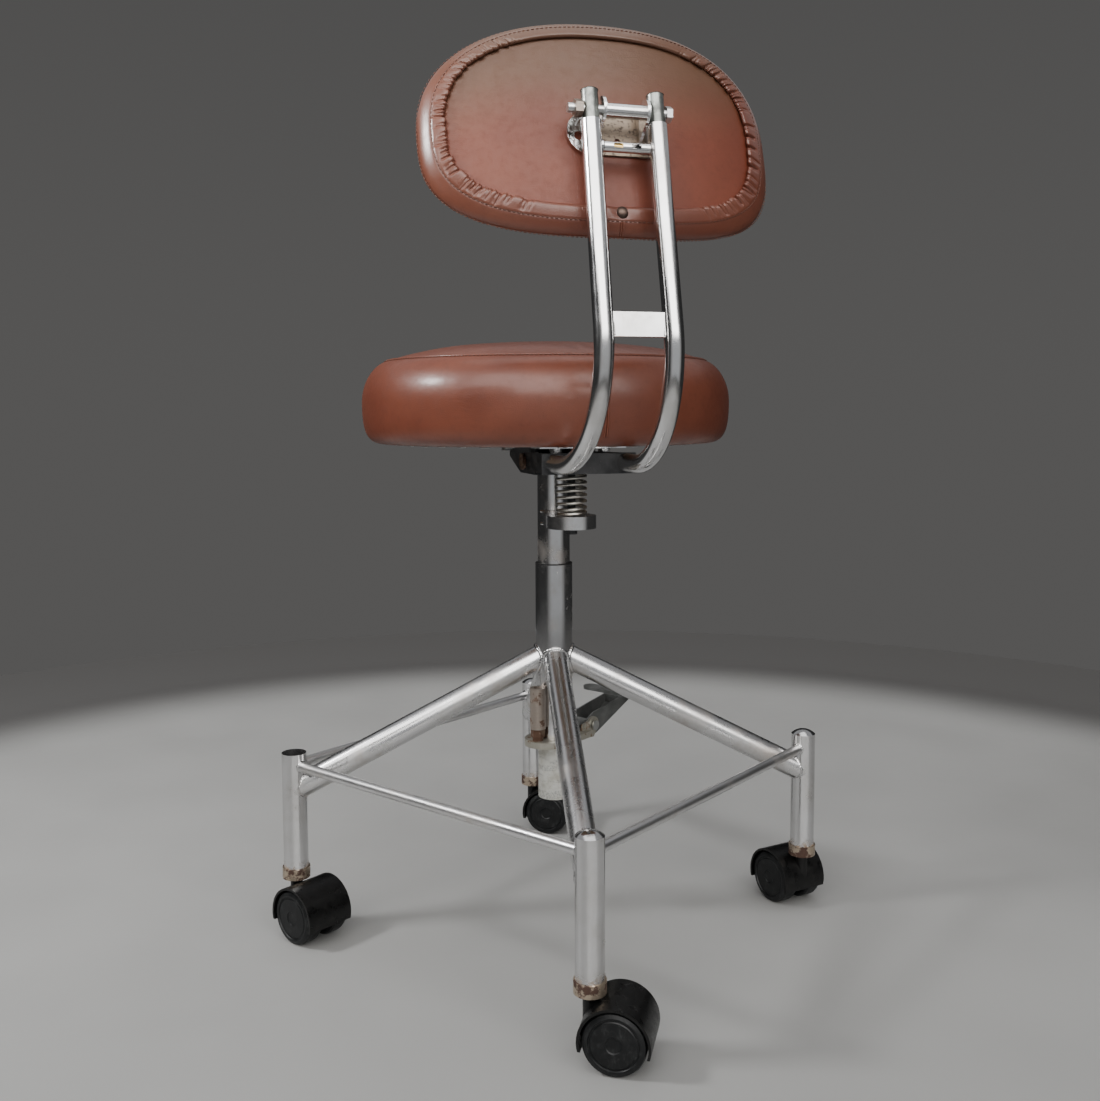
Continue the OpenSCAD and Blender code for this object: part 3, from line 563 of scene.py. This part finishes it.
def cover(name, cells, top_point, side_points, material, slot):
    """Builds a cover from top_point(angle, share) and rings of side_points(angle) from the rim down.
    Returns the object and the index arrays of its rim and of each ring below it."""
    angle, radius, faces, rim = disc_grid(cells)
    points = [top_point(a, r) for a, r in zip(angle, radius)]
    rings = [rim]
    for ring in side_points:
        start = len(points)
        points += [ring(angle[i]) for i in rim]
        rings.append(list(range(start, start + len(rim))))
    for upper, lower in zip(rings, rings[1:]):
        for k in range(len(rim)):
            after = (k + 1) % len(rim)
            faces.append((upper[after], upper[k], lower[k], lower[after]))
    return new_object(name, points, faces, material, slot), rings


def inflate(piece, held, design, frames=20, pressure=4.0):
    """Swells a cover with Cloth pressure. The points in held stay, and each other point stops about where
    it is in design, the same cover at its full size, which is then removed."""
    rest = coordinates(piece)
    cap = np.linalg.norm(coordinates(design) - rest, axis=1) + 0.4 * MM
    bpy.data.objects.remove(design)
    group = piece.vertex_groups.new(name="held")
    group.add([int(i) for i in held], 1.0, "REPLACE")
    cloth = piece.modifiers.new("Swell", "CLOTH")
    settings = cloth.settings
    settings.vertex_group_mass = "held"
    settings.use_pressure = True
    settings.uniform_pressure_force = pressure
    settings.effector_weights.gravity = 0
    settings.quality = 6
    settings.mass = 0.35
    settings.tension_stiffness = 12
    settings.compression_stiffness = 12
    settings.bending_stiffness = 1.5
    cloth.point_cache.frame_start = 1
    cloth.point_cache.frame_end = frames
    for step in range(1, frames + 1):
        bpy.context.scene.frame_set(step)
    shape = piece.evaluated_get(bpy.context.evaluated_depsgraph_get())
    moved = np.array([v.co for v in shape.data.vertices]) - rest
    piece.modifiers.remove(cloth)
    bpy.context.scene.frame_set(1)
    length = np.linalg.norm(moved, axis=1)
    share = np.minimum(1.0, cap / np.maximum(length, 1e-9))
    move_points(piece, rest + moved * share[:, None])
    return piece


def subdivide(piece, levels=1):
    """Applies a subdivision surface, so that the piece's own mesh is the smooth one."""
    modifier = piece.modifiers.new("Smooth", "SUBSURF")
    modifier.levels = levels
    modifier.render_levels = levels
    smooth = bpy.data.meshes.new_from_object(piece.evaluated_get(bpy.context.evaluated_depsgraph_get()))
    piece.modifiers.clear()
    old = piece.data
    piece.data = smooth
    piece.data.name = old.name
    return piece


def coordinates(piece):
    flat = np.empty(len(piece.data.vertices) * 3)
    piece.data.vertices.foreach_get("co", flat)
    return flat.reshape(-1, 3)


def move_points(piece, points):
    piece.data.vertices.foreach_set("co", points.ravel())
    piece.data.update()


def surface_of(piece):
    faces = [p.vertices[:] for p in piece.data.polygons]
    return BVHTree.FromPolygons([v.co[:] for v in piece.data.vertices], faces)


def on_surface(tree, points, lift):
    """The points moved onto a surface and out from it by lift."""
    placed = []
    for point in points:
        spot, normal, _, _ = tree.find_nearest(Vector(point))
        placed.append(spot + normal * lift)
    return placed


# ---- seat ----

SEAT_SWELL = 5 * MM  # how much smaller the cover is before it swells


def seat_ring(angle, radius, height):
    return SEAT_CENTRE.x + radius * math.cos(angle), SEAT_CENTRE.y + radius * math.sin(angle), height


def seat_side(pull_in):
    """(radius, height) points of the boxing from the seam down to the turned-under edge."""
    waist = SEAT_R - pull_in
    low = Vector((SEAT_BASE_R + 3.5 * MM, SEAT_LOW))
    wide = Vector((waist, SEAT_LOW + 41 * MM))
    seam = Vector((SEAT_SEAM_R, SEAT_SEAM_Z))
    upper = interpolate_bezier(seam, seam + Vector((9.5, -1.2)) * MM, wide + Vector((0, 22)) * MM, wide, 14)
    lower = interpolate_bezier(wide, wide - Vector((0, 22)) * MM, low + Vector((9.5, 4.0)) * MM, low, 10)
    return [tuple(p) for p in upper[1:]] + [tuple(p) for p in lower[1:]]


def seat_shape(swell):
    """The seat's cover, smaller than its finished shape by swell, with the points that hold still."""
    crown = SEAT_CROWN - swell

    def top_point(angle, share):
        rise = 1 - share ** 5.4
        return seat_ring(angle, SEAT_SEAM_R * share, SEAT_SEAM_Z + (crown - SEAT_SEAM_Z) * rise)

    side = seat_side(swell)
    rings = [lambda a, p=p: seat_ring(a, p[0], p[1]) for p in side]
    under = [(SEAT_BASE_R - 1 * MM, SEAT_LOW - 1.4 * MM), (SEAT_BASE_R - 22 * MM, SEAT_LOW - 1.6 * MM)]
    rings += [lambda a, p=p: seat_ring(a, p[0], p[1]) for p in under]
    piece, loops = cover("seat_cover", 48, top_point, rings, MATERIALS["vinyl"], "vinyl")
    return piece, loops[0] + [i for loop in loops[len(side):] for i in loop]


def make_seat():
    design, _ = seat_shape(0.0)
    piece, held = seat_shape(SEAT_SWELL)
    inflate(piece, held, design)
    fit_seat(piece)
    return subdivide(piece, 2)


def fit_seat(piece):
    """Scales the swelling so that the cushion's crown and waist come out at the CAD cushion's size."""
    points = coordinates(piece)
    flat = points[:, :2] - np.array(SEAT_CENTRE[:2])
    radius = np.linalg.norm(flat, axis=1)
    above = points[:, 2] > SEAT_SEAM_Z
    points[above, 2] = SEAT_SEAM_Z + (points[above, 2] - SEAT_SEAM_Z) * (
        (SEAT_CROWN - SEAT_SEAM_Z) / (points[:, 2].max() - SEAT_SEAM_Z))
    beyond = radius > SEAT_SEAM_R
    stretch = (SEAT_R - SEAT_SEAM_R) / (radius.max() - SEAT_SEAM_R)
    wanted = np.where(beyond, SEAT_SEAM_R + (radius - SEAT_SEAM_R) * stretch, radius)
    points[:, :2] = np.array(SEAT_CENTRE[:2]) + flat * (wanted / np.maximum(radius, 1e-9))[:, None]
    move_points(piece, points)


def seat_circle(radius, height, count=720):
    return [seat_ring(TURN * k / count, radius, height) for k in range(count)]


seat = make_seat()
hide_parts("seat_cushion")
seat_skin = surface_of(seat)
seam_line = on_surface(seat_skin, seat_circle(SEAT_SEAM_R, SEAT_SEAM_Z), 0.2 * MM)
welt = swept("seat_welt", seam_line, 1.3 * MM, MATERIALS["vinyl"], "vinyl", closed=True, sides=10)
below_seam = on_surface(seat_skin, seat_circle(SEAT_SEAM_R + 2.6 * MM, SEAT_SEAM_Z - 0.4 * MM), 0.5 * MM)
seat_stitching = stitches("seat_stitching", below_seam, MATERIALS["thread"], "vinyl",
                          2.9 * MM, 4.2 * MM, 0.55 * MM)


def boxing_seam(angle):
    """The two butted edges of the boxing strip, where its ends meet."""
    heights = np.linspace(SEAT_LOW + 2 * MM, SEAT_SEAM_Z - 1 * MM, 40)
    lips = []
    for offset in (-1.2 * MM, 1.2 * MM):
        line = [seat_ring(angle + offset / SEAT_R, SEAT_R + 6 * MM, z) for z in heights]
        placed = on_surface(seat_skin, line, 0.0)
        lips.append(swept("lip", placed, 1.2 * MM, MATERIALS["vinyl"], "vinyl", sides=10))
    return joined("seat_boxing_seam", lips)


rear_seam = boxing_seam(math.radians(90.4))
for piece in (seat, welt, seat_stitching, rear_seam):
    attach(piece, "seat")


# ---- back pad ----

def signed_power(value, power):
    return math.copysign(abs(value) ** power, value)


def outline_table(count=4096):
    """The outline's own angles, the share of its length reached at each, and its whole length."""
    angle = np.linspace(0, TURN, count + 1)
    x = np.sign(np.cos(angle)) * np.abs(np.cos(angle)) ** PAD_POWER * PAD_HALF_W
    z = np.sign(np.sin(angle)) * np.abs(np.sin(angle)) ** PAD_POWER * PAD_HALF_H
    length = np.concatenate([[0], np.cumsum(np.hypot(np.diff(x), np.diff(z)))])
    return angle, length / length[-1], length[-1]


OUTLINE_ANGLE, OUTLINE_SHARE, OUTLINE_LENGTH = outline_table()


def outline_angle(turn):
    """The outline's own angle at a share of its length, where a full turn is the whole length."""
    return float(np.interp((turn / TURN) % 1.0, OUTLINE_SHARE, OUTLINE_ANGLE))


def pad_point(x, z, depth):
    """A point of the pad in the row frame. depth is measured from the board's inner face, back positive."""
    y = -PAD_CURVE + math.sqrt((PAD_CURVE + depth) ** 2 - x * x)
    return PAD_ORIGIN + Vector((x, y * math.cos(PAD_LEAN) - z * math.sin(PAD_LEAN),
                                y * math.sin(PAD_LEAN) + z * math.cos(PAD_LEAN)))


def rim_point(turn, inset, depth, share=1.0):
    """A point on the pad's outline pulled in by inset, at a share of the way out from the centre."""
    angle = outline_angle(turn)
    front = min(1.0, max(0.0, (EDGE_DEPTH - depth) / (16 * MM)))
    inset += SLUMP * front * math.cos(angle + math.radians(50))
    x = (PAD_HALF_W - inset) * signed_power(math.cos(angle), PAD_POWER) * share
    z = (PAD_HALF_H - inset) * signed_power(math.sin(angle), PAD_POWER) * share
    shift = min(1.0, max(0.0, inset / HEM_INSET))
    x = x * (FAR_STRETCH if x < 0 else 1.0) + HEM_SHIFT[0] * shift
    x -= (END_TUCK[1] if x < 0 else END_TUCK[0]) * math.cos(angle) * shift * share
    return pad_point(x, z + HEM_SHIFT[1] * shift, depth)


ROW_INSET, ROW_DEPTH = 10.5 * MM, 8.4 * MM  # inner row of stitches, where the gathered band starts
EDGE_INSET, EDGE_DEPTH = 1.5 * MM, -4.0 * MM  # outer row, where the front cover starts
HEM_INSET = 21.5 * MM  # inner hem of the gathered band
HEM_SHIFT = (2.5 * MM, 2.6 * MM)  # how far the hem's centre sits off the outline's
FAR_STRETCH = 1.025  # the cover bulges further at the sitter's right
END_TUCK = (2.0 * MM, 5.5 * MM)  # how much wider the band is at the pad's two ends
PAD_SWELL = 4 * MM  # how much thinner the cover is before it swells
SLUMP = 7.0 * MM  # how far the front cover has slipped to one corner
STUD_DROP = 79 * MM  # the stud's place below the pad's centre


def pad_shape(swell):
    """The pad's cover, thinner than its finished shape by swell, with the points that hold still."""
    front_edge, crown = PAD_FRONT + swell, PAD_FRONT - 4 * MM + swell

    def front_point(turn, share):
        return rim_point(turn, 11 * MM, front_edge + (crown - front_edge) * (1 - share ** 3.5), share)

    def bow(start, end, push, steps):
        points = []
        for k in range(1, steps + 1):
            t = k / steps
            out = push * math.sin(math.pi * t)
            points.append((start[0] + (end[0] - start[0]) * t - out, start[1] + (end[1] - start[1]) * t))
        return points

    profile = bow((11 * MM, front_edge), (1 * MM, front_edge + 9.5 * MM), 2.4 * MM, 5)
    profile += bow((1 * MM, front_edge + 9.5 * MM), (EDGE_INSET, EDGE_DEPTH), 0.6 * MM, 4)
    front_rings = len(profile)
    profile += bow((EDGE_INSET, EDGE_DEPTH), (ROW_INSET, ROW_DEPTH), 3.0 * MM, 7)
    profile.append((ROW_INSET + 2 * MM, ROW_DEPTH - 1.5 * MM))
    rings = [lambda a, p=p: rim_point(a, p[0], p[1]) for p in profile]
    piece, loops = cover("back_pad_cover", 52, front_point, rings, MATERIALS["pad_vinyl"], "vinyl")
    return piece, [i for loop in loops[front_rings:] for i in loop]


def make_pad():
    design, _ = pad_shape(0.0)
    piece, held = pad_shape(PAD_SWELL)
    inflate(piece, held, design)
    return subdivide(piece, 1)


def smooth_step(value, low, high):
    t = min(1.0, max(0.0, (value - low) / (high - low)))
    return t * t * (3 - 2 * t)


def short_way(distance):
    """A distance along the pad's outline, measured the shorter way round."""
    return (distance + OUTLINE_LENGTH / 2) % OUTLINE_LENGTH - OUTLINE_LENGTH / 2


def fold_depths(around, across):
    """Gathers of uneven depth and length, one value for each point between the band's hem and seam."""
    chance = np.random.default_rng(11)
    share = np.arange(around) / around * OUTLINE_LENGTH
    down = np.linspace(0, 1, across)[:, None]
    depth = np.zeros((across, around))
    reach = 0.0
    while reach < OUTLINE_LENGTH - 6 * MM:
        deep, long, lean = chance.uniform(0.35, 1.0), chance.uniform(0.3, 1.0), chance.normal(0, 1.6) * MM
        away = short_way(share - reach - lean * down)
        width = chance.uniform(0.9, 1.5) * MM
        crease = np.exp(-np.abs(away / width) ** 1.5)
        crease += 0.45 * np.exp(-((away - 2.2 * width) / (1.6 * width)) ** 2)
        fade = 1 - np.clip((down - 0.25 - 0.55 * long) / 0.3, 0, 1) ** 2
        depth -= deep * crease * fade
        shallow = short_way(share - reach - chance.uniform(3, 5) * MM)
        fading = np.clip(1 - down * chance.uniform(1.2, 2.5), 0, 1)
        depth -= 0.3 * np.exp(-(shallow / (0.8 * MM)) ** 2) * fading
        reach += chance.gamma(9.0, 1.05) * MM
    return depth + 0.35


def make_band():
    """The gathered skirt on the pad's back: smooth along the top and bottom, pleated round both ends."""
    around, across = 1900, 13
    folds = fold_depths(around, across)
    points = []
    for row in range(across):
        s = row / (across - 1)
        for k in range(around):
            turn = TURN * k / around
            angle = outline_angle(turn)
            x = PAD_HALF_W * signed_power(math.cos(angle), PAD_POWER)
            fold = folds[row, k] * smooth_step(abs(x), 74 * MM, 106 * MM)
            inset = HEM_INSET + (ROW_INSET - HEM_INSET) * s
            depth = PAD_BACK + 0.6 * MM + 2.0 * MM * math.sin(math.pi * min(1.0, 0.12 + 0.88 * s) ** 0.55)
            if row == 0:
                depth, inset = PAD_BACK - 0.8 * MM, inset - 0.6 * MM
            elif row == 1:
                depth, inset = PAD_BACK + 1.4 * MM, inset + 1.2 * MM
            elif row == across - 1:
                depth = ROW_DEPTH - 0.4 * MM
            if angle > math.pi:
                near_stud = math.exp(-(x * x + (inset - PAD_HALF_H + STUD_DROP) ** 2) / (8 * MM) ** 2)
                depth -= 2.4 * MM * near_stud
            depth += fold * 3.2 * MM * (0.4 + 0.6 * (1 - s))
            inset += fold * 1.9 * MM * (1 - s)
            points.append(rim_point(turn, inset, depth))
    faces = [tuple(reversed(f)) for f in grid_faces(across, around, True)]
    return new_object("back_pad_gathered_band", points, faces, MATERIALS["pad_vinyl"], "vinyl")


def make_panel():
    """The covered board seen inside the band, slightly domed between its edges."""
    def back_point(turn, share):
        return rim_point(-turn, HEM_INSET - 2.5 * MM, PAD_BACK - 0.9 * MM * share ** 6, share)
    rings = [lambda a: rim_point(-a, HEM_INSET - 3.5 * MM, PAD_BACK - 4 * MM)]
    panel, _ = cover("back_pad_panel", 40, back_point, rings, MATERIALS["panel"], "vinyl_panel")
    return subdivide(panel, 1)


def closing_seam(skin):
    """The short seam below the stud, where the ends of the pad's edging meet."""
    lips = []
    for side in (-1, 1):
        line = [rim_point(TURN * 0.75, inset, depth) + Vector((side * 0.9 * MM, 0, 0)) for inset, depth in
                [(ROW_INSET - k * 0.9 * MM, ROW_DEPTH + 4 * MM - k * 1.1 * MM) for k in range(12)]]
        lips.append(swept("lip", on_surface(skin, line, 0.0), 0.9 * MM, MATERIALS["pad_vinyl"], "vinyl"))
    return joined("back_pad_closing_seam", lips)


pad = make_pad()
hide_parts("back_pad")
band = make_band()
panel = make_panel()
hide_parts("pad_board")
rows = [("back_pad_inner_stitches", ROW_INSET - 0.2 * MM, ROW_DEPTH + 0.1 * MM),
        ("back_pad_outer_stitches", EDGE_INSET - 0.9 * MM, EDGE_DEPTH + 1.6 * MM)]
pad_pieces = [pad, band, panel]
for row_name, inset, depth in rows:
    line = [rim_point(TURN * k / 1200, inset, depth) for k in range(1200)]
    pad_pieces.append(stitches(row_name, line, MATERIALS["thread"], "vinyl", 2.8 * MM, 4.0 * MM, 0.42 * MM))
pad_pieces.append(closing_seam(surface_of(pad)))
for piece in pad_pieces:
    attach(piece, "pad")


# ---- springs ----

def coil_path(turns, wire, height, mean_radius, per_turn=48):
    """A compression spring standing on z = 0, with nearly a whole closed turn at each end."""
    path = []
    steps = round(turns * per_turn)
    dead = 0.9 / turns
    for k in range(steps + 1):
        t = k / steps
        free = (t - dead) / (1 - 2 * dead)
        if t < dead:
            rise = wire * t * turns
        elif t > 1 - dead:
            rise = height - wire - wire * (1 - t) * turns
        else:
            rise = wire * 0.9 + (height - wire - 2 * wire * 0.9) * free
        angle = TURN * turns * t
        path.append(round_axis(mean_radius, angle, wire / 2 + rise))
    return path


SPRING_WIRE = 3.2 * MM
spring_height = SPRING_HIGH.z - SPRING_LOW.z
spring_base = Vector((0, middle("recline_spring").y, SPRING_LOW.z))
spring_line = [spring_base + p for p in
               coil_path(9.5, SPRING_WIRE, spring_height, size("recline_spring").x / 2 - SPRING_WIRE / 2)]
spring = swept("recline_spring_coil", spring_line, SPRING_WIRE / 2, MATERIALS["spring"], "spring_steel",
               sides=14)
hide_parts("recline_spring")
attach(spring, "seat")
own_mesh(spring)


# ---- welds ----

HUB_BEAD = 1.9 * MM
POST_BEAD = 1.6 * MM
CLAMP_BEAD = 1.3 * MM
STOP_BEAD = 1.2 * MM
THIN_BEAD = 1.1 * MM
LEG_WELD_R = POST_R * 0.90  # a little under the leg's own radius


def saddle(start, direction, radius, centre, axis, main_radius, count=96):
    """The line where a branch tube meets a main tube."""
    d, e = Vector(direction).normalized(), Vector(axis).normalized()
    u = d.orthogonal().normalized()
    v = d.cross(u)
    line = []
    for k in range(count):
        angle = TURN * k / count
        point = start + radius * (math.cos(angle) * u + math.sin(angle) * v)
        apart = point - centre
        a = d - e * d.dot(e)
        b = apart - e * apart.dot(e)
        half = a.dot(b)
        root = max(0.0, half * half - a.length_squared * (b.length_squared - main_radius ** 2))
        line.append(point + d * ((-half - math.sqrt(root)) / a.length_squared))
    return line


def bead(line, thickness, closed=True, seed=1):
    """A hand-laid weld bead: overlapping ripples of uneven size."""
    chance = random.Random(seed)
    path = along(line, 0.5 * MM, closed)
    ripple, drift = [], chance.uniform(0, TURN)
    slow = chance.uniform(0.9, 1.3)
    for k in range(len(path)):
        reach = k * 0.5
        ripple.append(thickness * (1 + 0.13 * abs(math.sin(reach * slow + drift))
                                   + 0.10 * math.sin(reach * 0.21 + drift)))
    return swept("bead", path, ripple, MATERIALS["weld"], "chrome", closed=closed, sides=10)


def leg_line(corner):
    """A leg's centreline: a point under the post's axis and the direction away from the column."""
    angle = POST_TURN + corner * math.pi / 2
    run = POST_CIRCLE - COLUMN_R - POST_R
    slope = (LEG_HIGH_Z - LEG_LOW_Z) / run
    start = Vector((0, 0, LEG_HIGH_Z + slope * COLUMN_R))
    return start, round_axis(1.0, angle, -slope)


def make_base_welds():
    up = Vector((0, 0, 1))
    hub, posts, rods = [], [], []
    for corner in range(4):
        start, direction = leg_line(corner)
        end = start + direction * POST_CIRCLE
        line = saddle(end, -direction, POST_R, Vector((0, 0, 0)), up, COLUMN_R)
        hub.append(bead(line, HUB_BEAD, seed=corner))
        line = saddle(start, direction, LEG_WELD_R, post_place(corner), up, POST_R)
        posts.append(bead(line, POST_BEAD, seed=10 + corner))
    for side in ROD_SIDES:
        ends = [post_place(side), post_place(side + 1)]
        for near, far in (ends, ends[::-1]):
            begin = far + Vector((0, 0, ROD_Z))
            towards = near - far
            line = saddle(begin, towards, ROD_R, near, up, POST_R, 48)
            rods.append(bead(line, THIN_BEAD, seed=20 + side))
    return [joined("weld_hub", hub), joined("weld_posts", posts), joined("weld_rods", rods)]


def arc_path(height, radius, start, end, count=60):
    """An arc about the column's axis, from start to end degrees."""
    angles = [math.radians(start + (end - start) * k / count) for k in range(count + 1)]
    return [round_axis(radius, a, height) for a in angles]


def make_seat_welds():
    low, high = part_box("clamp_plate")[0].z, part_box("clamp_plate")[1].z
    arcs = [arc_path(z, SEAT_POST_R + 0.4 * MM, 24, 156) for z in (low, high)]
    beads = [bead(arc, CLAMP_BEAD, closed=False, seed=40 + k) for k, arc in enumerate(arcs)]
    return joined("weld_clamp", beads)


def make_back_welds():
    beads = []
    stop_low, stop_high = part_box("stop_tube")
    plate_low, plate_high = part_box("mid_cross_plate")
    stop_r = (stop_high.z - stop_low.z) / 2
    stop_middle = (stop_low + stop_high) / 2
    tall = plate_high.z - plate_low.z
    lean = tall * math.tan(TUBE_LEAN / 2)
    for side, stop_x, plate_x in ((-1, stop_low.x, plate_low.x), (1, stop_high.x, plate_high.x)):
        ring = [Vector((stop_x - side * 0.6 * MM, stop_middle.y + stop_r * math.cos(TURN * k / 40),
                        stop_middle.z + stop_r * math.sin(TURN * k / 40))) for k in range(40)]
        beads.append(bead(ring, STOP_BEAD, seed=50 + side))
        for y_shift in (0, 1):
            near, far = plate_low.y + lean * y_shift, plate_high.y - lean * (1 - y_shift)
            line = [Vector((plate_x - side * 0.4 * MM, far + (near - far) * t, plate_low.z + t * tall))
                    for t in np.linspace(0.04, 0.96, 20)]
            beads.append(bead(line, THIN_BEAD, closed=False, seed=60 + side + 5 * y_shift))
    return joined("weld_back", beads)


for piece in make_base_welds():
    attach(piece, "base")
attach(make_seat_welds(), "seat")
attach(make_back_welds(), "back")

staple_line = seat_circle(SEAT_BASE_R - 13 * MM, SEAT_LOW - 1.9 * MM)
staples = stitches("seat_staples", staple_line, MATERIALS["steel"], "steel", 9 * MM, 24 * MM, 0.5 * MM)
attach(staples, "seat")


# ---- floor, lights and camera ----

CAMERA_PLACE = Vector((0.3385, 1.1214, 0.5316))
TOWARDS_CAMERA = Vector((0.286, 0.958, 0))
FLOOR_R = 1.6
PALE_R = 1.00  # the floor is pale out to here
SHADED_FROM_R = 1.26  # and painted shade darkens it from here on, towards the backdrop's grey
SHEEN_R, MATT_R = 0.9, 1.3  # it loses its sheen between these


def make_floor():
    """A disc of floor, pale round the chair, with painted shade darkening it further out towards the
    backdrop's grey.
    """
    f = Finish("floor_grey")
    cloud = f.noise(1.4, 5, 0.6)
    reach = f.calc("SQRT", f.plus(f.times(f.axis("X"), f.axis("X")),
                                  f.times(f.axis("Y"), f.axis("Y"))), 0.0)
    pale = f.mix(cloud, rgb(0.345, 0.345, 0.337), rgb(0.395, 0.395, 0.387))
    # Painted shade: beyond PALE_R the floor's colour darkens to near the backdrop's grey, like light falling
    # off.
    material = f.finish(Base_Color=f.mix(f.level(reach, PALE_R, SHADED_FROM_R), pale, rgb(0.105, 0.103, 0.101)),
                        Specular_IOR_Level=f.level(reach, SHEEN_R, MATT_R, 0.5, 0.0),
                        Roughness=f.level(f.noise(6, 4, 0.6), 0.3, 0.7, 0.45, 0.6))
    rim = [round_axis(FLOOR_R, TURN * k / 96) for k in range(96)]
    stage_mesh("floor", rim, [tuple(range(96))], material)


def stage_mesh(name, vertices, faces, material):
    mesh = bpy.data.meshes.new(name)
    mesh.from_pydata(vertices, [], faces)
    mesh.materials.append(material)
    made = bpy.data.objects.new(name, mesh)
    bpy.context.scene.collection.objects.link(made)
    return made


def make_flags():
    """Dark studio flags round the chair, open behind the camera, glowing grey beside the opening. Only
    mirror-like surfaces see them, as a painted reflection that lights nothing.
    """
    open_to = math.atan2(TOWARDS_CAMERA.y, TOWARDS_CAMERA.x) + math.radians(16)
    reach, top, steps, half_open = 1.6, 1.3, 60, math.radians(34)
    f = Finish("glowing_flag")
    ahead = f.plus(f.times(f.axis("X"), math.cos(open_to) / reach),
                   f.times(f.axis("Y"), math.sin(open_to) / reach))
    # Painted reflection: the flags glow near black, and grey beside the opening.
    dark = f.mix(f.noise(1.6, 3, 0.5), rgb(0.016, 0.017, 0.018), rgb(0.042, 0.041, 0.040))
    opening = f.level(ahead, math.cos(half_open + 0.5), math.cos(half_open))
    soft = f.mix(opening, dark, rgb(0.34, 0.34, 0.34))
    f.finish(Base_Color=rgb(0, 0, 0), Emission_Color=soft, Emission_Strength=1.0, Specular_IOR_Level=0.0)
    vertices = []
    for k in range(steps + 1):
        angle = open_to + half_open + (TURN - 2 * half_open) * k / steps
        vertices += [round_axis(reach, angle, 0.004), round_axis(reach, angle, top)]
    faces = [(2 * k, 2 * k + 2, 2 * k + 3, 2 * k + 1) for k in range(steps)]
    flags = stage_mesh("flags", vertices, faces, f.material)
    flags.visible_camera = False
    flags.visible_diffuse = False
    flags.visible_shadow = False
    flags.visible_transmission = False


def area_light(name, place, target, width, height, power):
    light = bpy.data.lights.new(name, "AREA")
    light.shape = "RECTANGLE"
    light.size, light.size_y = width, height
    light.energy = power
    lamp = bpy.data.objects.new(name, light)
    lamp.location = place
    lamp.rotation_mode = "QUATERNION"
    lamp.rotation_quaternion = (Vector(target) - Vector(place)).to_track_quat("-Z", "Y")
    bpy.context.scene.collection.objects.link(lamp)


def make_world():
    """A grey backdrop for the camera, and for all other rays a dim room with one broad high softbox.
    Reflections see the softbox and the room's lower part brighter than the light they give."""
    world = bpy.data.worlds.new("studio")
    bpy.context.scene.world = world
    world.use_nodes = True
    world.node_tree.nodes.clear()
    w = Pattern(world.node_tree, "Generated")
    x, y, z = w.axis("X"), w.axis("Y"), w.axis("Z")
    flat = w.calc("SQRT", w.plus(w.times(x, x), w.times(y, y)), 0.0)
    along_view = w.plus(w.times(x, TOWARDS_CAMERA.x), w.times(y, TOWARDS_CAMERA.y))
    ahead = w.calc("DIVIDE", along_view, flat)
    box = w.times(w.level(ahead, 0.56, 0.68), w.level(z, 0.19, 0.30))
    box = w.times(box, w.level(z, 0.86, 0.76))
    mirrored = w.node("LightPath", {}).outputs["Is Glossy Ray"]
    low_room = w.mix(mirrored, rgb(0.16, 0.16, 0.16), rgb(0.42, 0.43, 0.44))
    room = w.mix(w.level(z, 0.15, 0.9), low_room, rgb(0.34, 0.34, 0.35))
    softbox = w.mix(mirrored, rgb(2.55, 2.5, 2.44), rgb(6.2, 6.1, 5.95))
    lit = w.mix(box, room, softbox)
    backdrop = w.mix(w.level(z, 0.0, 0.55), rgb(0.098, 0.096, 0.094), rgb(0.080, 0.079, 0.078))
    camera_ray = w.node("LightPath", {}).outputs["Is Camera Ray"]
    light = w.node("Background", {"Color": w.mix(camera_ray, lit, backdrop)}).outputs["Background"]
    w.node("OutputWorld", {"Surface": light})


def make_camera():
    """The main view: from behind, a little to the sitter's left, level with the seat cushion."""
    yaw, pitch, roll = math.radians(-106.62), math.radians(4.5), math.radians(-0.24)
    forward = Vector((math.cos(pitch) * math.cos(yaw), math.cos(pitch) * math.sin(yaw), -math.sin(pitch)))
    level_right = Vector((math.sin(yaw), -math.cos(yaw), 0))
    level_up = level_right.cross(forward)
    right = level_right * math.cos(roll) + level_up * math.sin(roll)
    up = level_up * math.cos(roll) - level_right * math.sin(roll)
    data = bpy.data.cameras.new("camera")
    data.sensor_width = 36
    data.lens = 37.32
    data.shift_y = -0.0431
    data.clip_start, data.clip_end = 0.05, 60
    camera = bpy.data.objects.new("camera", data)
    camera.matrix_world = Matrix((
        (right.x, up.x, -forward.x, CAMERA_PLACE.x),
        (right.y, up.y, -forward.y, CAMERA_PLACE.y),
        (right.z, up.z, -forward.z, CAMERA_PLACE.z),
        (0, 0, 0, 1),
    ))
    bpy.context.scene.collection.objects.link(camera)
    bpy.context.scene.camera = camera


make_floor()
make_flags()
make_world()
area_light("key", (1.43, -0.10, 1.36), (0.1, 0.1, 0.5), width=0.28, height=0.22, power=18)
area_light("overhead", (0, 0.1, 2.9), (0, 0, 0), width=2.2, height=2.2, power=20)
make_camera()
